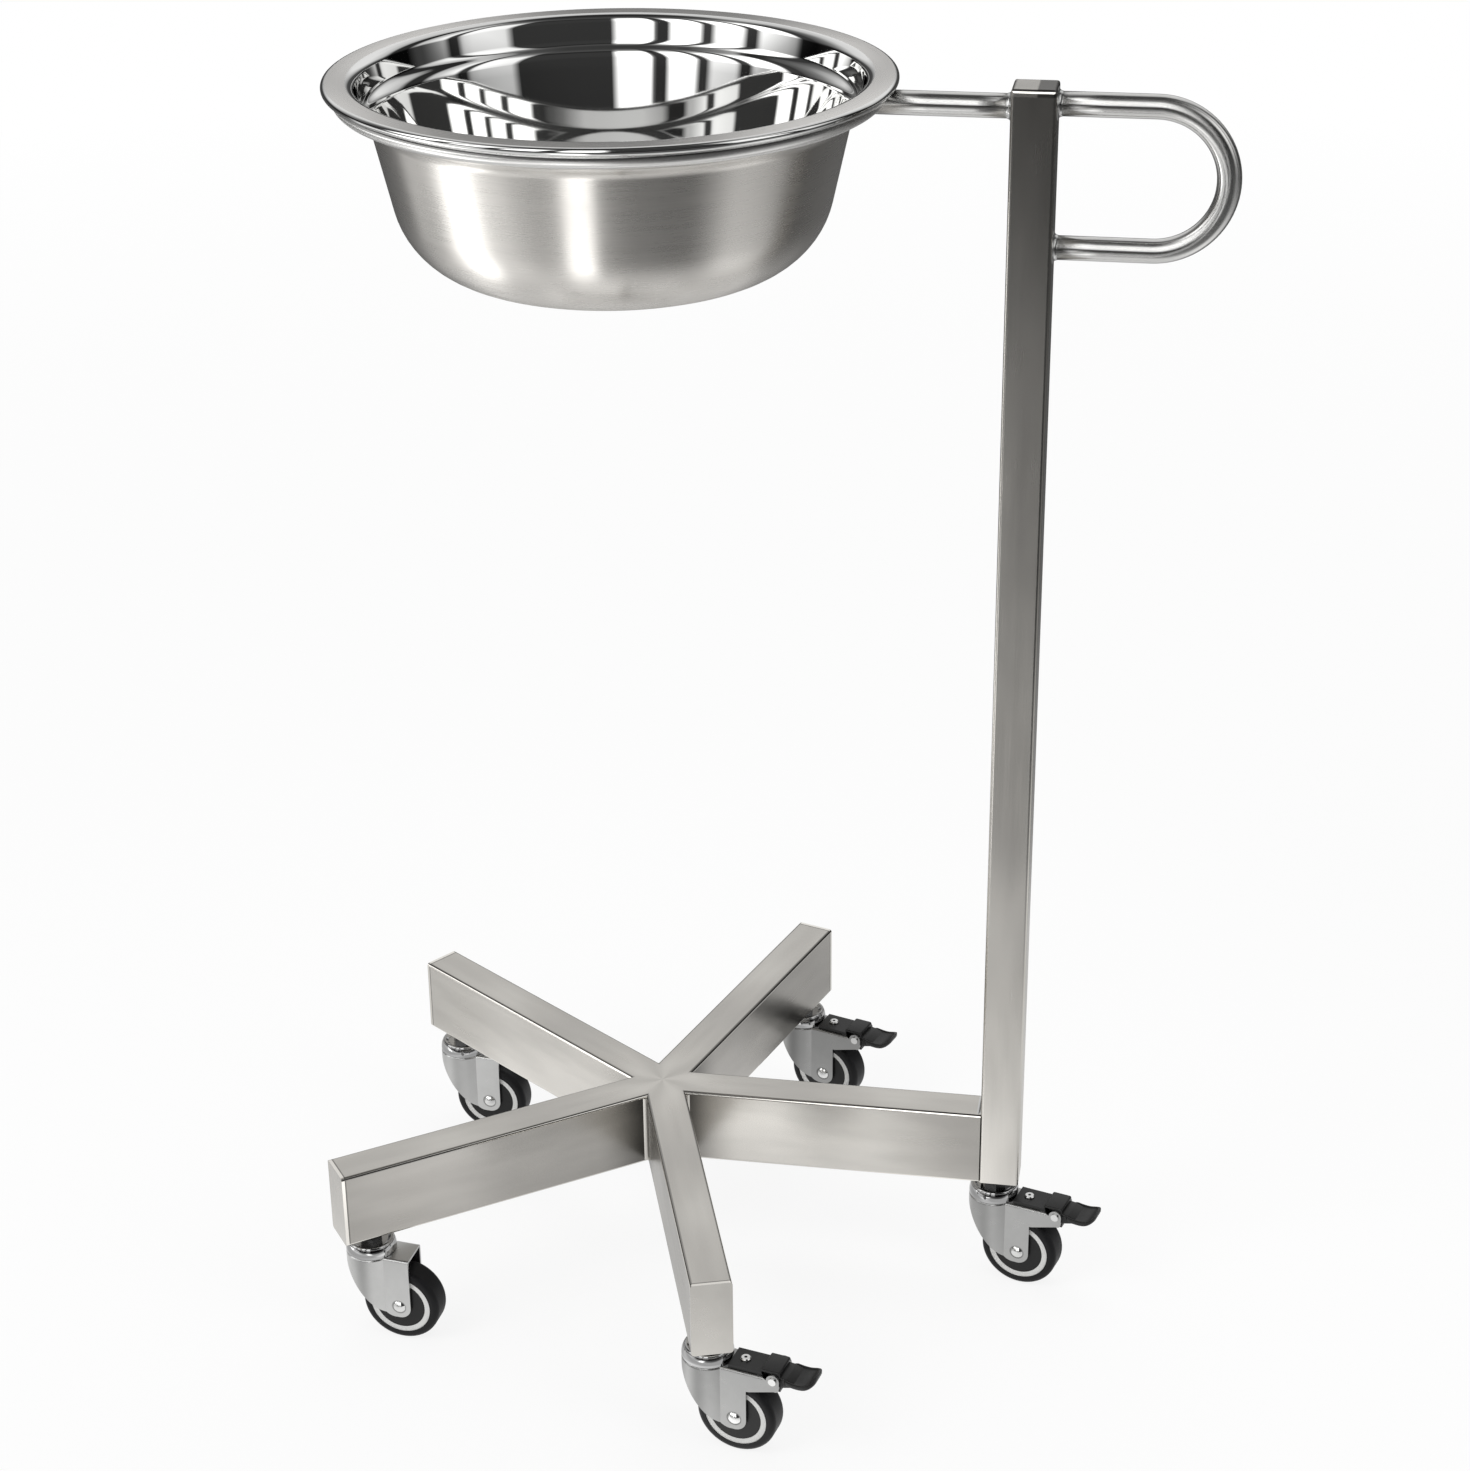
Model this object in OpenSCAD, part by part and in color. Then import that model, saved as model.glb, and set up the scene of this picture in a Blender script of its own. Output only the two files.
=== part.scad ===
// Surgical bowl stand: a basin held in a ring at the top of a side post, on a five-leg base with swivel casters.
// The post stands on the end of one leg. Three of the casters have a foot brake.
// Sizes are in millimetres, +Z is up and the floor is at z = 0.

/* [Base] */
// Distance from the hub's axis to the outer end of a leg
leg_reach = 222.5; // [190:0.5:320]
// Width of a leg tube
leg_w = 25; // [22:0.5:32]
// Height of a leg tube
leg_h = 50; // [35:1:70]
// Wall of the leg tubes and of the post
tube_wall = 1.5; // [1:0.1:2]
// Outer corner radius of the leg tubes and of the post
tube_corner = 2; // [1.2:0.1:2.6]
// Thickness of the plate that closes a leg's end
end_cap_t = 2; // [1:0.25:4]
// Height of the legs' underside above the floor
leg_clearance = 73.5; // [70:0.5:90]
// Thickness of the tapped block behind each caster stem
socket_t = 10; // [6:0.5:16]
// Leg length of the weld beads in the hub's corners
weld_leg = 2.6; // [1:0.1:4]

/* [Post] */
// Side of the square post
post_w = 25; // [22:0.5:32]
// Height of the post's top above the floor
post_top = 774; // [600:1:1000]
// Distance from the hub's axis to the post's axis
post_x = 218; // [180:1:310]
// Thickness of the post's cap
cap_t = 4; // [2.5:0.25:8]
// Edge radius of the post's cap
cap_edge_r = 2.4; // [0.5:0.1:2.4]
// How far the cap's plug reaches into the post
cap_plug_h = 12; // [5:1:25]

/* [Handle and arm] */
// Diameter of the arm and of the handle's rod
rod_d = 13.5; // [10:0.5:15]
// Distance between the centre lines of the handle's two legs
handle_gap = 80; // [60:1:120]
// Distance from the post's axis to the handle's outermost centre line
handle_reach = 106; // [85:0.5:160]
// Depth of the handle's upper leg below the post's top
handle_drop = 10; // [9:0.5:30]
// Leg length of the round weld beads on the rods
rod_weld_leg = 2.4; // [1:0.1:4]

/* [Bowl] */
// Overall diameter over the rolled rim
bowl_d = 317.5; // [280:0.5:380]
// Position of the bowl's centre from the hub's axis, towards the post
bowl_x = -15.5; // [-30:0.5:0]
// Depth from the flange's top to the underside of the bottom
bowl_depth = 110; // [90:1:140]
// Sheet thickness
bowl_wall = 1; // [0.8:0.1:1.4]
// Diameter of the rolled rim's bead
bead_d = 4.6; // [3.6:0.1:6]
// Diameter of the flat bottom
bottom_d = 148; // [110:1:156]
// Outer radius of the corner between wall and bottom
bottom_corner_r = 50; // [30:1:52]
// Width of the flat flange, from the bead's centre to the lip
flange_w = 10.5; // [10:0.5:16]
// Radius of the lip between flange and collar
lip_r = 6; // [5.5:0.25:7]
// Depth of the collar's lower edge below the flange's top
collar_h = 16.5; // [14:0.5:22]
// How far the collar narrows from top to bottom
collar_taper = 2.4; // [0:0.1:4]
// Depth of the ledge below the collar
ledge_h = 4.5; // [3:0.25:9]
// How far the ledge draws the wall in
ledge_w = 4.6; // [3:0.1:8]

/* [Support ring] */
// Diameter of the ring's rod
ring_rod_d = 12.5; // [9:0.5:12.5]
// Radial gap between the ring and the bowl's bead
ring_side_gap = 0.35; // [0.2:0.05:1.5]
// Gap between the ring and the flange that rests on it
seat_gap = 0.3; // [0.2:0.05:0.5]

/* [Casters] */
// Distance from a leg's end to the caster's swivel axis
stem_inset = 20; // [17:0.5:26]
// Distance from the post's axis to its caster's swivel axis, towards the hub
post_stem_inset = 3.5; // [0:0.5:5]
// Direction in which the casters trail on average, in degrees about +Z
trail_dir = -12; // [-40:1:10]
// Wheel diameter
wheel_d = 50; // [46:0.5:52]
// Width of the tyre
tyre_w = 17; // [13:0.5:17]
// Distance from the swivel axis to the axle
trail = 20.5; // [19:0.5:22]
// Thickness of the fork's sheet
fork_t = 1.5; // [1.2:0.1:2]
// Width over the fork's side plates
fork_w = 21; // [21:0.5:24]
// Height of the fork's top face above the floor
fork_top = 60; // [58:0.5:62]
// Diameter of the fork's round front
fork_front_d = 31.6; // [30:0.2:34]
// Radius of the fork's lobe round the axle
axle_lobe_r = 7.75; // [7:0.25:9]
// Height of the swivel cap above the fork
cap_h = 7.5; // [6.5:0.25:9]
// Diameter of the balls in the swivel
ball_d = 3; // [2.4:0.1:3.2]
// Number of balls in a swivel
ball_count = 10; // [6:1:14]
// Thread diameter of the caster stem
stem_d = 8; // [6:0.5:8]
// Length of the stem above the leg's underside
stem_h = 22; // [14:1:34]
// Diameter of the axle bolt
axle_d = 5; // [4:0.5:6]

/* [Brakes] */
// Distance from the swivel axis to the brake pedal's pin
pin_u = 45.2; // [44:0.2:48]
// Diameter of the brake pedal's pin
pin_d = 3; // [2:0.25:4]
// Radius of the fork's lobe round the pin
pin_lobe_r = 4.1; // [3.5:0.1:4.5]
// Distance from the swivel axis to the pedal's tip
pedal_reach = 70.5; // [66:0.5:76]
// Width of the pedal's foot pad
pedal_w = 20; // [17.4:0.2:22]
// Thickness of the pedal's blade
pedal_t = 3; // [2:0.25:3.5]
// Thickness of the brake leaf
leaf_t = 2.2; // [1:0.1:2.4]
// Diameter of the rivet head on the leaf
rivet_head_d = 6.4; // [5:0.2:8]

/* [Hidden] */
$fn = 64;

// Running clearance of a shaft in its hole, on the radius
run_gap = 0.05;
// Gap between pieces that move past each other
side_gap = 0.3;
// Overlap of a cutting body past the face that it cuts
cut = 1;

// Base
leg_count = 5;
leg_step = 360 / leg_count;
post_leg = 0;
leg_top = leg_clearance + leg_h;
notch_r = leg_w / 2 / sin(leg_step / 2);
inner_corner = max(tube_corner - tube_wall, 0.4);
post_face_in = post_x - post_w / 2;
post_face_out = post_x + post_w / 2;
stem_r = stem_d / 2;

// Rods
rod_r = rod_d / 2;
handle_z = post_top - handle_drop;
bend_r = handle_gap / 2;
bend_x = post_x + handle_reach - bend_r;

// Bowl, in radius and height. The sheet follows points on its middle line.
bead_r = bead_d / 2;
bead_centre_r = bowl_d / 2 - bead_r;
sheet = bowl_wall / 2;
flange_top = post_top - 0.5;
flange_under = flange_top - bowl_wall;
bead_z = flange_top - bead_r;
bead_low = bead_z - bead_r;
arm_z = bead_low - side_gap - rod_r;
lip_x = bead_centre_r - flange_w;
collar_top = [lip_x - lip_r + sheet, flange_top - lip_r];
collar_end = collar_top + [-collar_taper, lip_r - collar_h];
wall_top = collar_end - [ledge_w, ledge_h];
bowl_low = flange_top - bowl_depth;
bottom_r = bottom_d / 2;
corner_r = bottom_corner_r - sheet;
corner = [bottom_r, bowl_low + bottom_corner_r];
// The wall runs straight from its top to where it meets the bottom corner's arc
wall_run = wall_top - corner;
wall_face = atan2(wall_run[1], wall_run[0]) - acos(corner_r / norm(wall_run));
wall_end = corner + corner_r * [cos(wall_face), sin(wall_face)];

// Support ring
ring_rod_r = ring_rod_d / 2;
ring_r = bead_centre_r - bead_r - ring_side_gap - ring_rod_r;
ring_z = flange_under - seat_gap - ring_rod_r;

// Casters, in their own frame: x along the trail, y across it, z above the floor
// Each caster was left turned a little differently, from the post leg's round to the front leg's
trail_turn = [-4, -6, 6, 5, -1];
wheel_r = wheel_d / 2;
axle = [trail, wheel_r];
fork_in = fork_w / 2 - fork_t;
fork_under = fork_top - fork_t;
fork_front_r = fork_front_d / 2;
fork_neck_u = sqrt(pow(fork_front_r, 2) - pow(fork_w / 2, 2));
fork_rear_u = trail + axle_lobe_r;
// The fork's leading edge is an arc that ends in a heel under the axle
lead_r = 127;
lead_centre = axle + [77.3, 88.2];
heel_r = 9;
heel_z = wheel_r - axle_lobe_r + heel_r;
heel = [lead_centre[0] - sqrt(pow(lead_r - heel_r, 2) - pow(lead_centre[1] - heel_z, 2)), heel_z];
lead_end = lead_centre + lead_r * (heel - lead_centre) / (lead_r - heel_r);
swivel_hole_r = stem_r + 2;
ball_r = ball_d / 2;
race_gap = 0.15;
cap_r = fork_front_r;
cap_low = fork_top + side_gap;
cap_under = fork_top + ball_d + 2 * race_gap;
cap_top = fork_top + cap_h;
cap_top_r = cap_r - 1.6;
cap_skirt = 1.8;
cap_recess = 1.2;
ball_ring_r = cap_r - cap_skirt - side_gap - ball_r;
collar_r = stem_r + 3.5;
washer_r = stem_r + 5;
washer_t = 1.6;
head_t = 1.6;

// Wheels
tyre_in_r = wheel_r - 5.3;
tyre_edge_r = 3.4;
core_w = tyre_w - 1;
core_rim_t = 3.5;
cover_r = tyre_in_r - core_rim_t - run_gap;
cover_t = 1.6;
bush_r = axle_d / 2 + 1.6;
bush_len = 2 * (fork_in - side_gap);
bolt_head_r = axle_d / 2 + 1.6;
bolt_head_h = 1.9;
nut_h = 3.5;

// Brakes, with positions along the trail and above the floor
pin_z = fork_top - 1;
arm_flat_u = pin_u - 6;
pedal_back_u = pin_u - 8.2;
pedal_front_u = pin_u + 4.2;
pedal_in_w = 2 * (fork_in - side_gap);
pedal_hub_r = 4.1;
block_low = fork_top + leaf_t + 0.6;
block_top = block_low + 1.9;
pad_corner_r = 6.4;
pad_curve_r = 14.5;
pad_curve = [pedal_reach - 10, fork_top + pad_curve_r - 0.5];
pad_top = fork_top + 5.2;
rivet_u = fork_rear_u - 4;
rivet_r = 1.6;
// The cam sits beyond the pin, so that it goes down with the foot pad
cam_r = 3.2;
cam = [pin_u + 3.05, pin_z - 2];
cam_gap = 0.15;
// The leaf lies on the fork. Its outer part turns down about the shelf's edge by a seventh of the pedal's angle.
leaf_half = fork_in - side_gap;
leaf_low = fork_top + 0.1;
leaf_cam_top = cam[1] - cam_r - cam_gap;
leaf_end_u = pin_u + 4.3;
shoe_u = trail + 11.5;
shoe_t = 1.5;
shoe_len = 4.5;
shoe_gap = 0.5;
shoe_low = wheel_r + sqrt(pow(wheel_r, 2) - pow(shoe_u - trail, 2)) + shoe_gap;
rivet_lift = 0.25;

// The whole stand is centred on its own outline
end_x = leg_reach * cos(leg_step / 2) + leg_w / 2 * sin(leg_step / 2);
end_y = leg_reach * sin(leg_step) + leg_w / 2 * cos(leg_step);
tip_y = (leg_reach - stem_inset) * sin(leg_step)
    - (pedal_reach - pad_corner_r) * sin(trail_angle(leg_count - 1))
    + (pedal_w / 2 - pad_corner_r) * cos(trail_angle(leg_count - 1)) + pad_corner_r;
handle_x = post_x + handle_reach + rod_r;
centre_x = (handle_x - end_x) / 2;
centre_y = (end_y - tip_y) / 2;

steel_colour = [0.72, 0.72, 0.70];
polished_colour = [0.82, 0.82, 0.82];
weld_colour = [0.62, 0.61, 0.58];
zinc_colour = [0.70, 0.71, 0.72];
black_colour = [0.10, 0.10, 0.10];
grey_colour = [0.80, 0.80, 0.79];

function leg_angle(i) = i * leg_step;
function has_brake(i) = i == 0 || i == 1 || i == 4;
function stem_x(i) = i == post_leg ? post_x - post_stem_inset : leg_reach - stem_inset;
function trail_angle(i) = trail_dir + trail_turn[i];

// Moves the stand so that the frame's origin is on the floor below the middle of its outline
module placed() {
    translate([-centre_x, -centre_y, 0]) children();
}

// A leg's own frame: x along the leg from the hub's axis
module at_leg(i) {
    placed() rotate([0, 0, leg_angle(i)]) children();
}

// A caster's own frame: z is the swivel axis and x is the direction in which the wheel trails
module at_caster(i) {
    at_leg(i) translate([stem_x(i), 0, 0]) rotate([0, 0, trail_angle(i) - leg_angle(i)]) children();
}

module rounded_rect(w, h, r) {
    square([w - 2 * r, h], center = true);
    square([w, h - 2 * r], center = true);
    for (x = [-1, 1], y = [-1, 1]) translate([x * (w / 2 - r), y * (h / 2 - r)]) circle(r);
}

module tube_section(w, h) {
    difference() {
        rounded_rect(w, h, tube_corner);
        rounded_rect(w - 2 * tube_wall, h - 2 * tube_wall, inner_corner);
    }
}

// Draws a cross-section along +x: the section's x lies across and its y lies up
module along_x(len) {
    rotate([90, 0, 90]) linear_extrude(len) children();
}

// One leg: a rectangular tube, mitred at the hub to meet its two neighbours
module leg(i) {
    len = i == post_leg ? post_face_in : leg_reach - end_cap_t;
    reach = leg_reach * 2;
    color(steel_colour) at_leg(i) difference() {
        intersection() {
            translate([0, 0, leg_clearance + leg_h / 2]) along_x(len) tube_section(leg_w, leg_h);
            linear_extrude(leg_top + cut)
                polygon([[0, 0], [reach, reach * tan(leg_step / 2)], [reach, -reach * tan(leg_step / 2)]]);
        }
        if (i != post_leg) {
            translate([stem_x(i), 0, leg_clearance - cut])
                cylinder(r = stem_r + run_gap, h = tube_wall + 2 * cut);
        }
    }
}

module leg_end_caps() {
    color(steel_colour) for (i = [1 : leg_count - 1]) {
        at_leg(i) translate([leg_reach - end_cap_t, 0, leg_clearance + leg_h / 2])
            along_x(end_cap_t) rounded_rect(leg_w, leg_h, tube_corner);
    }
}

// Hollow weld beads in the five vertical corners of the hub
module hub_welds() {
    half = leg_step / 2;
    bead_h = leg_h - 2 * tube_corner;
    side = weld_leg;
    color(weld_colour) for (i = [0 : leg_count - 1]) {
        placed() rotate([0, 0, leg_angle(i) + half]) translate([notch_r, 0, leg_clearance + tube_corner])
            linear_extrude(bead_h) difference() {
                polygon([[0, 0], [side * cos(half), side * sin(half)], [side * cos(half), -side * sin(half)]]);
                translate([side * (cos(half) + 1.1), 0]) circle(side * 1.25);
            }
    }
}

// The post, an open square tube down to the legs' underside
module post() {
    color(steel_colour) placed() translate([post_x, 0, leg_clearance])
        linear_extrude(post_top - cap_t - leg_clearance) tube_section(post_w, post_w);
}

// The post's cap: a plate with rounded edges on a plug that fits the tube
module post_cap() {
    plug_w = post_w - 2 * tube_wall - 2 * run_gap;
    color(steel_colour) placed() translate([post_x, 0, post_top - cap_t]) {
        intersection() {
            linear_extrude(cap_t) rounded_rect(post_w, post_w, tube_corner);
            cap_arch(0);
            cap_arch(90);
        }
        translate([0, 0, -cap_plug_h]) linear_extrude(cap_plug_h)
            rounded_rect(plug_w, plug_w, inner_corner);
    }
}

// A block whose two upper long edges are round
module cap_arch(turn) {
    rotate([0, 0, turn]) translate([-post_w, 0, 0]) along_x(2 * post_w) {
        translate([-post_w / 2, 0]) square([post_w, cap_t - cap_edge_r]);
        translate([-post_w / 2 + cap_edge_r, 0]) square([post_w - 2 * cap_edge_r, cap_t]);
        for (side = [-1, 1]) translate([side * (post_w / 2 - cap_edge_r), cap_t - cap_edge_r])
            circle(cap_edge_r);
    }
}

// A round weld bead on a rod that stands on a face at x = 0 and runs along +x
module rod_weld() {
    rotate([0, 90, 0]) rotate_extrude() difference() {
        translate([rod_r, 0]) square([rod_weld_leg, rod_weld_leg]);
        translate([rod_r + rod_weld_leg, rod_weld_leg]) circle(rod_weld_leg * 0.92);
    }
}

// The beads at the post: round ones on the three rods, and a straight one on top of the leg
module post_welds() {
    color(weld_colour) placed() {
        translate([post_face_out, 0, handle_z]) rod_weld();
        translate([post_face_out, 0, handle_z - handle_gap]) rod_weld();
        translate([post_face_in, 0, arm_z]) rotate([0, 0, 180]) rod_weld();
        translate([post_face_in, leg_w / 2 - tube_corner, leg_top]) rotate([90, 0, 0])
            linear_extrude(leg_w - 2 * tube_corner) difference() {
                translate([-weld_leg, 0]) square(weld_leg);
                translate([-weld_leg, weld_leg]) circle(weld_leg * 0.92);
            }
    }
}

module ring_body(extra) {
    translate([bowl_x, 0, ring_z]) rotate_extrude($fn = 128) translate([ring_r, 0]) circle(ring_rod_r + extra);
}

// The arm runs from the post to under the ring, where its end is cut to the ring's shape
module support_arm() {
    color(polished_colour) placed() difference() {
        translate([bowl_x + ring_r - ring_rod_r / 2, 0, arm_z]) rotate([0, 90, 0])
            cylinder(r = rod_r, h = post_face_in - bowl_x - ring_r + ring_rod_r / 2);
        ring_body(0);
    }
}

module support_ring() {
    color(polished_colour) placed() ring_body(0);
}

// The push handle: one rod, bent round in a half circle
module push_handle() {
    leg_len = bend_x - post_face_out;
    color(polished_colour) placed() {
        for (z = [handle_z, handle_z - handle_gap]) translate([post_face_out, 0, z]) rotate([0, 90, 0])
            cylinder(r = rod_r, h = leg_len);
        translate([bend_x, 0, handle_z - bend_r]) rotate([90, 0, 0])
            rotate_extrude(angle = 180, start = -90, $fn = 96) translate([bend_r, 0]) circle(rod_r);
    }
}

// A straight piece of the bowl's sheet in section, between two points of its middle line
module sheet_strip(a, b) {
    run = b - a;
    side = sheet * [-run[1], run[0]] / norm(run);
    polygon([a + side, b + side, b - side, a - side]);
    translate(b) circle(sheet);
}

// The part of a sheet's bend between two angles
module sheet_bend(centre, r, from, to) {
    far = 2 * r;
    mid = (from + to) / 2;
    translate(centre) intersection() {
        difference() {
            circle(r + sheet, $fn = 96);
            circle(r - sheet, $fn = 96);
        }
        polygon([[0, 0], far * [cos(from), sin(from)], far * [cos(mid), sin(mid)], far * [cos(to), sin(to)]]);
    }
}

// A piece of the bowl: its section turned round the bowl's axis
module spun() {
    rotate_extrude($fn = 128) children();
}

// The bowl, from the rolled rim down to the flat bottom
module bowl() {
    color(polished_colour) placed() translate([bowl_x, 0, 0]) {
        spun() translate([bead_centre_r, bead_z]) circle(bead_r);
        spun() sheet_strip([bead_centre_r, flange_top - sheet], [lip_x, flange_top - sheet]);
        spun() sheet_bend([lip_x, flange_top - lip_r], lip_r - sheet, 90, 180);
        spun() sheet_strip(collar_top, collar_end);
        spun() sheet_strip(collar_end, wall_top);
        spun() sheet_strip(wall_top, wall_end);
        spun() sheet_bend(corner, corner_r, wall_face, -90);
        translate([0, 0, bowl_low]) cylinder(r = bottom_r, h = bowl_wall, $fn = 128);
    }
}

// Tapped blocks that the caster stems screw into, inside the legs and in the post's foot
module stem_sockets() {
    side = leg_w - 2 * tube_wall - 2 * inner_corner;
    post_side = post_w - 2 * tube_wall - 2 * run_gap;
    color(zinc_colour) for (i = [0 : leg_count - 1]) {
        at_leg(i) difference() {
            if (i == post_leg) {
                translate([post_x, 0, leg_clearance]) linear_extrude(socket_t)
                    rounded_rect(post_side, post_side, inner_corner);
            } else {
                translate([stem_x(i), 0, leg_clearance + tube_wall]) linear_extrude(socket_t)
                    rounded_rect(side, side, inner_corner);
            }
            translate([stem_x(i), 0, leg_clearance - cut])
                cylinder(r = stem_r + run_gap, h = socket_t + tube_wall + 2 * cut);
        }
    }
}

// Caster stems: a threaded pin with a hexagonal collar under the leg and a riveted head below the fork
module caster_stems() {
    low = fork_under - race_gap - washer_t;
    collar_low = cap_top - cap_recess;
    color(zinc_colour) for (i = [0 : leg_count - 1]) at_caster(i) {
        translate([0, 0, low]) cylinder(r = stem_r, h = leg_clearance + stem_h - low);
        translate([0, 0, collar_low]) cylinder(r = collar_r, h = leg_clearance - collar_low, $fn = 6);
        translate([0, 0, low - head_t]) cylinder(r = stem_r + 2, h = head_t);
    }
}

// Half of a swivel cap in section: a domed shell with a dished top and a skirt over the balls
module cap_section() {
    inner = stem_r + run_gap;
    edge = 1.3;
    bulge = 9;
    difference() {
        intersection() {
            translate([inner, cap_low]) square([cap_r - inner, cap_top - cap_low]);
            union() {
                translate([cap_r - bulge, cap_low + 1.6]) circle(bulge);
                translate([inner, cap_low]) square([cap_r - inner, 1.6]);
                translate([inner, cap_low]) square([cap_top_r - edge - inner, cap_top - cap_low]);
            }
            union() {
                translate([inner, cap_low]) square([cap_r - inner, cap_top - edge - cap_low]);
                translate([inner, cap_low]) square([cap_top_r - edge - inner, cap_top - cap_low]);
                translate([cap_top_r - edge, cap_top - edge]) circle(edge);
            }
        }
        polygon([
            [inner - cut, cap_top - cap_recess],
            [cap_top_r - 3.4, cap_top - cap_recess],
            [cap_top_r - 1.6, cap_top + 0.1],
            [inner - cut, cap_top + 0.1]
        ]);
        translate([inner - cut, cap_low - cut]) square([cap_r - cap_skirt - inner + cut, cap_under - cap_low + cut]);
    }
}

module swivel_caps() {
    color(polished_colour) for (i = [0 : leg_count - 1]) at_caster(i) rotate_extrude() cap_section();
}

module swivel_balls() {
    color(polished_colour) for (i = [0 : leg_count - 1], k = [0 : ball_count - 1]) {
        at_caster(i) rotate([0, 0, k * 360 / ball_count])
            translate([ball_ring_r, 0, fork_top + race_gap + ball_r]) sphere(ball_r, $fn = 24);
    }
}

module swivel_washers() {
    color(zinc_colour) for (i = [0 : leg_count - 1]) {
        at_caster(i) translate([0, 0, fork_under - race_gap - washer_t]) difference() {
            cylinder(r = washer_r, h = washer_t);
            translate([0, 0, -cut]) cylinder(r = stem_r + run_gap, h = washer_t + 2 * cut);
        }
    }
}

// The fork's outline from above, drawn in by a given amount: round in front and straight at the wheel
module fork_plan(inset, rear) {
    circle(fork_front_r - inset);
    translate([0, inset - fork_w / 2]) square([rear, fork_w - 2 * inset]);
}

// The fork's outline from the side, with the arm that carries the brake pedal
module fork_profile(brake) {
    front = -fork_front_r - cut;
    intersection() {
        translate(lead_centre) circle(lead_r, $fn = 180);
        polygon([
            [front, fork_top],
            [front, lead_end[1]],
            lead_end,
            heel,
            axle,
            [fork_rear_u, wheel_r],
            [fork_rear_u, fork_top]
        ]);
    }
    translate(heel) circle(heel_r);
    translate(axle) circle(axle_lobe_r);
    if (brake) {
        toe = [pin_u + 1.4, pin_z - 4.9];
        polygon([
            [trail, fork_top - 14],
            [fork_rear_u + 1.6, fork_top - 13],
            [fork_rear_u + 4.4, fork_top - 12.2],
            toe - [0.6, 2.4],
            toe + [2.5, 0],
            [pin_u + pin_lobe_r, pin_z],
            [pin_u - pin_lobe_r, pin_z],
            [arm_flat_u, fork_top],
            [trail, fork_top]
        ]);
        translate(toe) circle(2.5);
        translate([pin_u, pin_z]) circle(pin_lobe_r);
    }
}

// Draws a side outline across the fork, centred on its middle plane
module across(width) {
    translate([0, width / 2, 0]) rotate([90, 0, 0]) linear_extrude(width) children();
}

// What a bend of the sheet's thickness leaves off a square corner
module bend_corner() {
    difference() {
        square(fork_t + cut);
        circle(fork_t);
    }
}

// A stamped fork: side plates that wrap round in front, a top plate, and round bends between them
module fork(i) {
    brake = has_brake(i);
    rear = brake ? pin_u + pin_lobe_r : fork_rear_u;
    bend_end = brake ? arm_flat_u : fork_rear_u + cut;
    color(zinc_colour) at_caster(i) difference() {
        union() {
            intersection() {
                linear_extrude(fork_top + pin_lobe_r + cut) difference() {
                    fork_plan(0, rear);
                    fork_plan(fork_t, rear + cut);
                }
                across(2 * fork_front_r + cut) fork_profile(brake);
            }
            translate([0, 0, fork_under]) linear_extrude(fork_t) fork_plan(0, fork_rear_u);
        }
        translate([0, 0, fork_under - cut]) cylinder(r = swivel_hole_r, h = fork_t + 2 * cut);
        translate([trail, 0, wheel_r]) rotate([90, 0, 0])
            cylinder(r = axle_d / 2 + run_gap, h = fork_w + 2 * cut, center = true);
        for (side = [0, 1]) mirror([0, side, 0])
            translate([fork_neck_u, fork_w / 2 - fork_t, fork_under]) along_x(bend_end - fork_neck_u) bend_corner();
        intersection() {
            translate([0, 0, fork_under]) rotate_extrude() translate([fork_front_r - fork_t, 0]) bend_corner();
            translate([-2 * fork_front_r, -2 * fork_front_r, fork_under])
                cube([2 * fork_front_r + fork_neck_u, 4 * fork_front_r, fork_t + cut]);
        }
        if (brake) {
            translate([pin_u, 0, pin_z]) rotate([90, 0, 0])
                cylinder(r = pin_d / 2 + run_gap, h = fork_w + 2 * cut, center = true);
            translate([rivet_u, 0, fork_under - cut]) cylinder(r = rivet_r + run_gap, h = fork_t + 2 * cut);
        }
    }
}

// The axle: a bolt with a domed head, and its nut on the far side
module axle_bolt(i) {
    half = fork_w / 2;
    dome_r = (pow(bolt_head_r, 2) + pow(bolt_head_h, 2)) / (2 * bolt_head_h);
    color(zinc_colour) at_caster(i) translate([trail, 0, wheel_r]) {
        rotate([90, 0, 0]) union() {
            translate([0, 0, -half - nut_h - 1]) cylinder(r = axle_d / 2, h = 2 * half + nut_h + 1);
            intersection() {
                translate([0, 0, half]) cylinder(r = bolt_head_r, h = bolt_head_h);
                translate([0, 0, half + bolt_head_h - dome_r]) sphere(dome_r);
            }
        }
        rotate([-90, 0, 0]) translate([0, 0, half]) difference() {
            cylinder(r = axle_d / 2 + 2.6, h = nut_h, $fn = 6);
            translate([0, 0, -cut]) cylinder(r = axle_d / 2 + run_gap, h = nut_h + 2 * cut);
        }
    }
}

// A wheel piece, drawn as a section in radius and width and turned about the axle
module turned(i) {
    at_caster(i) translate([trail, 0, wheel_r]) rotate([90, 0, 0]) rotate_extrude($fn = 96) children();
}

module tyre(i) {
    flat = wheel_r - tyre_edge_r;
    half = tyre_w / 2;
    color(black_colour) turned(i) intersection() {
        translate([tyre_in_r, -half]) square([wheel_r - tyre_in_r, tyre_w]);
        union() {
            translate([tyre_in_r, -half]) square([flat - tyre_in_r, tyre_w]);
            translate([tyre_in_r, -half + tyre_edge_r]) square([wheel_r - tyre_in_r, tyre_w - 2 * tyre_edge_r]);
            for (side = [-1, 1]) translate([flat, side * (half - tyre_edge_r)]) circle(tyre_edge_r);
        }
    }
}

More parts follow.
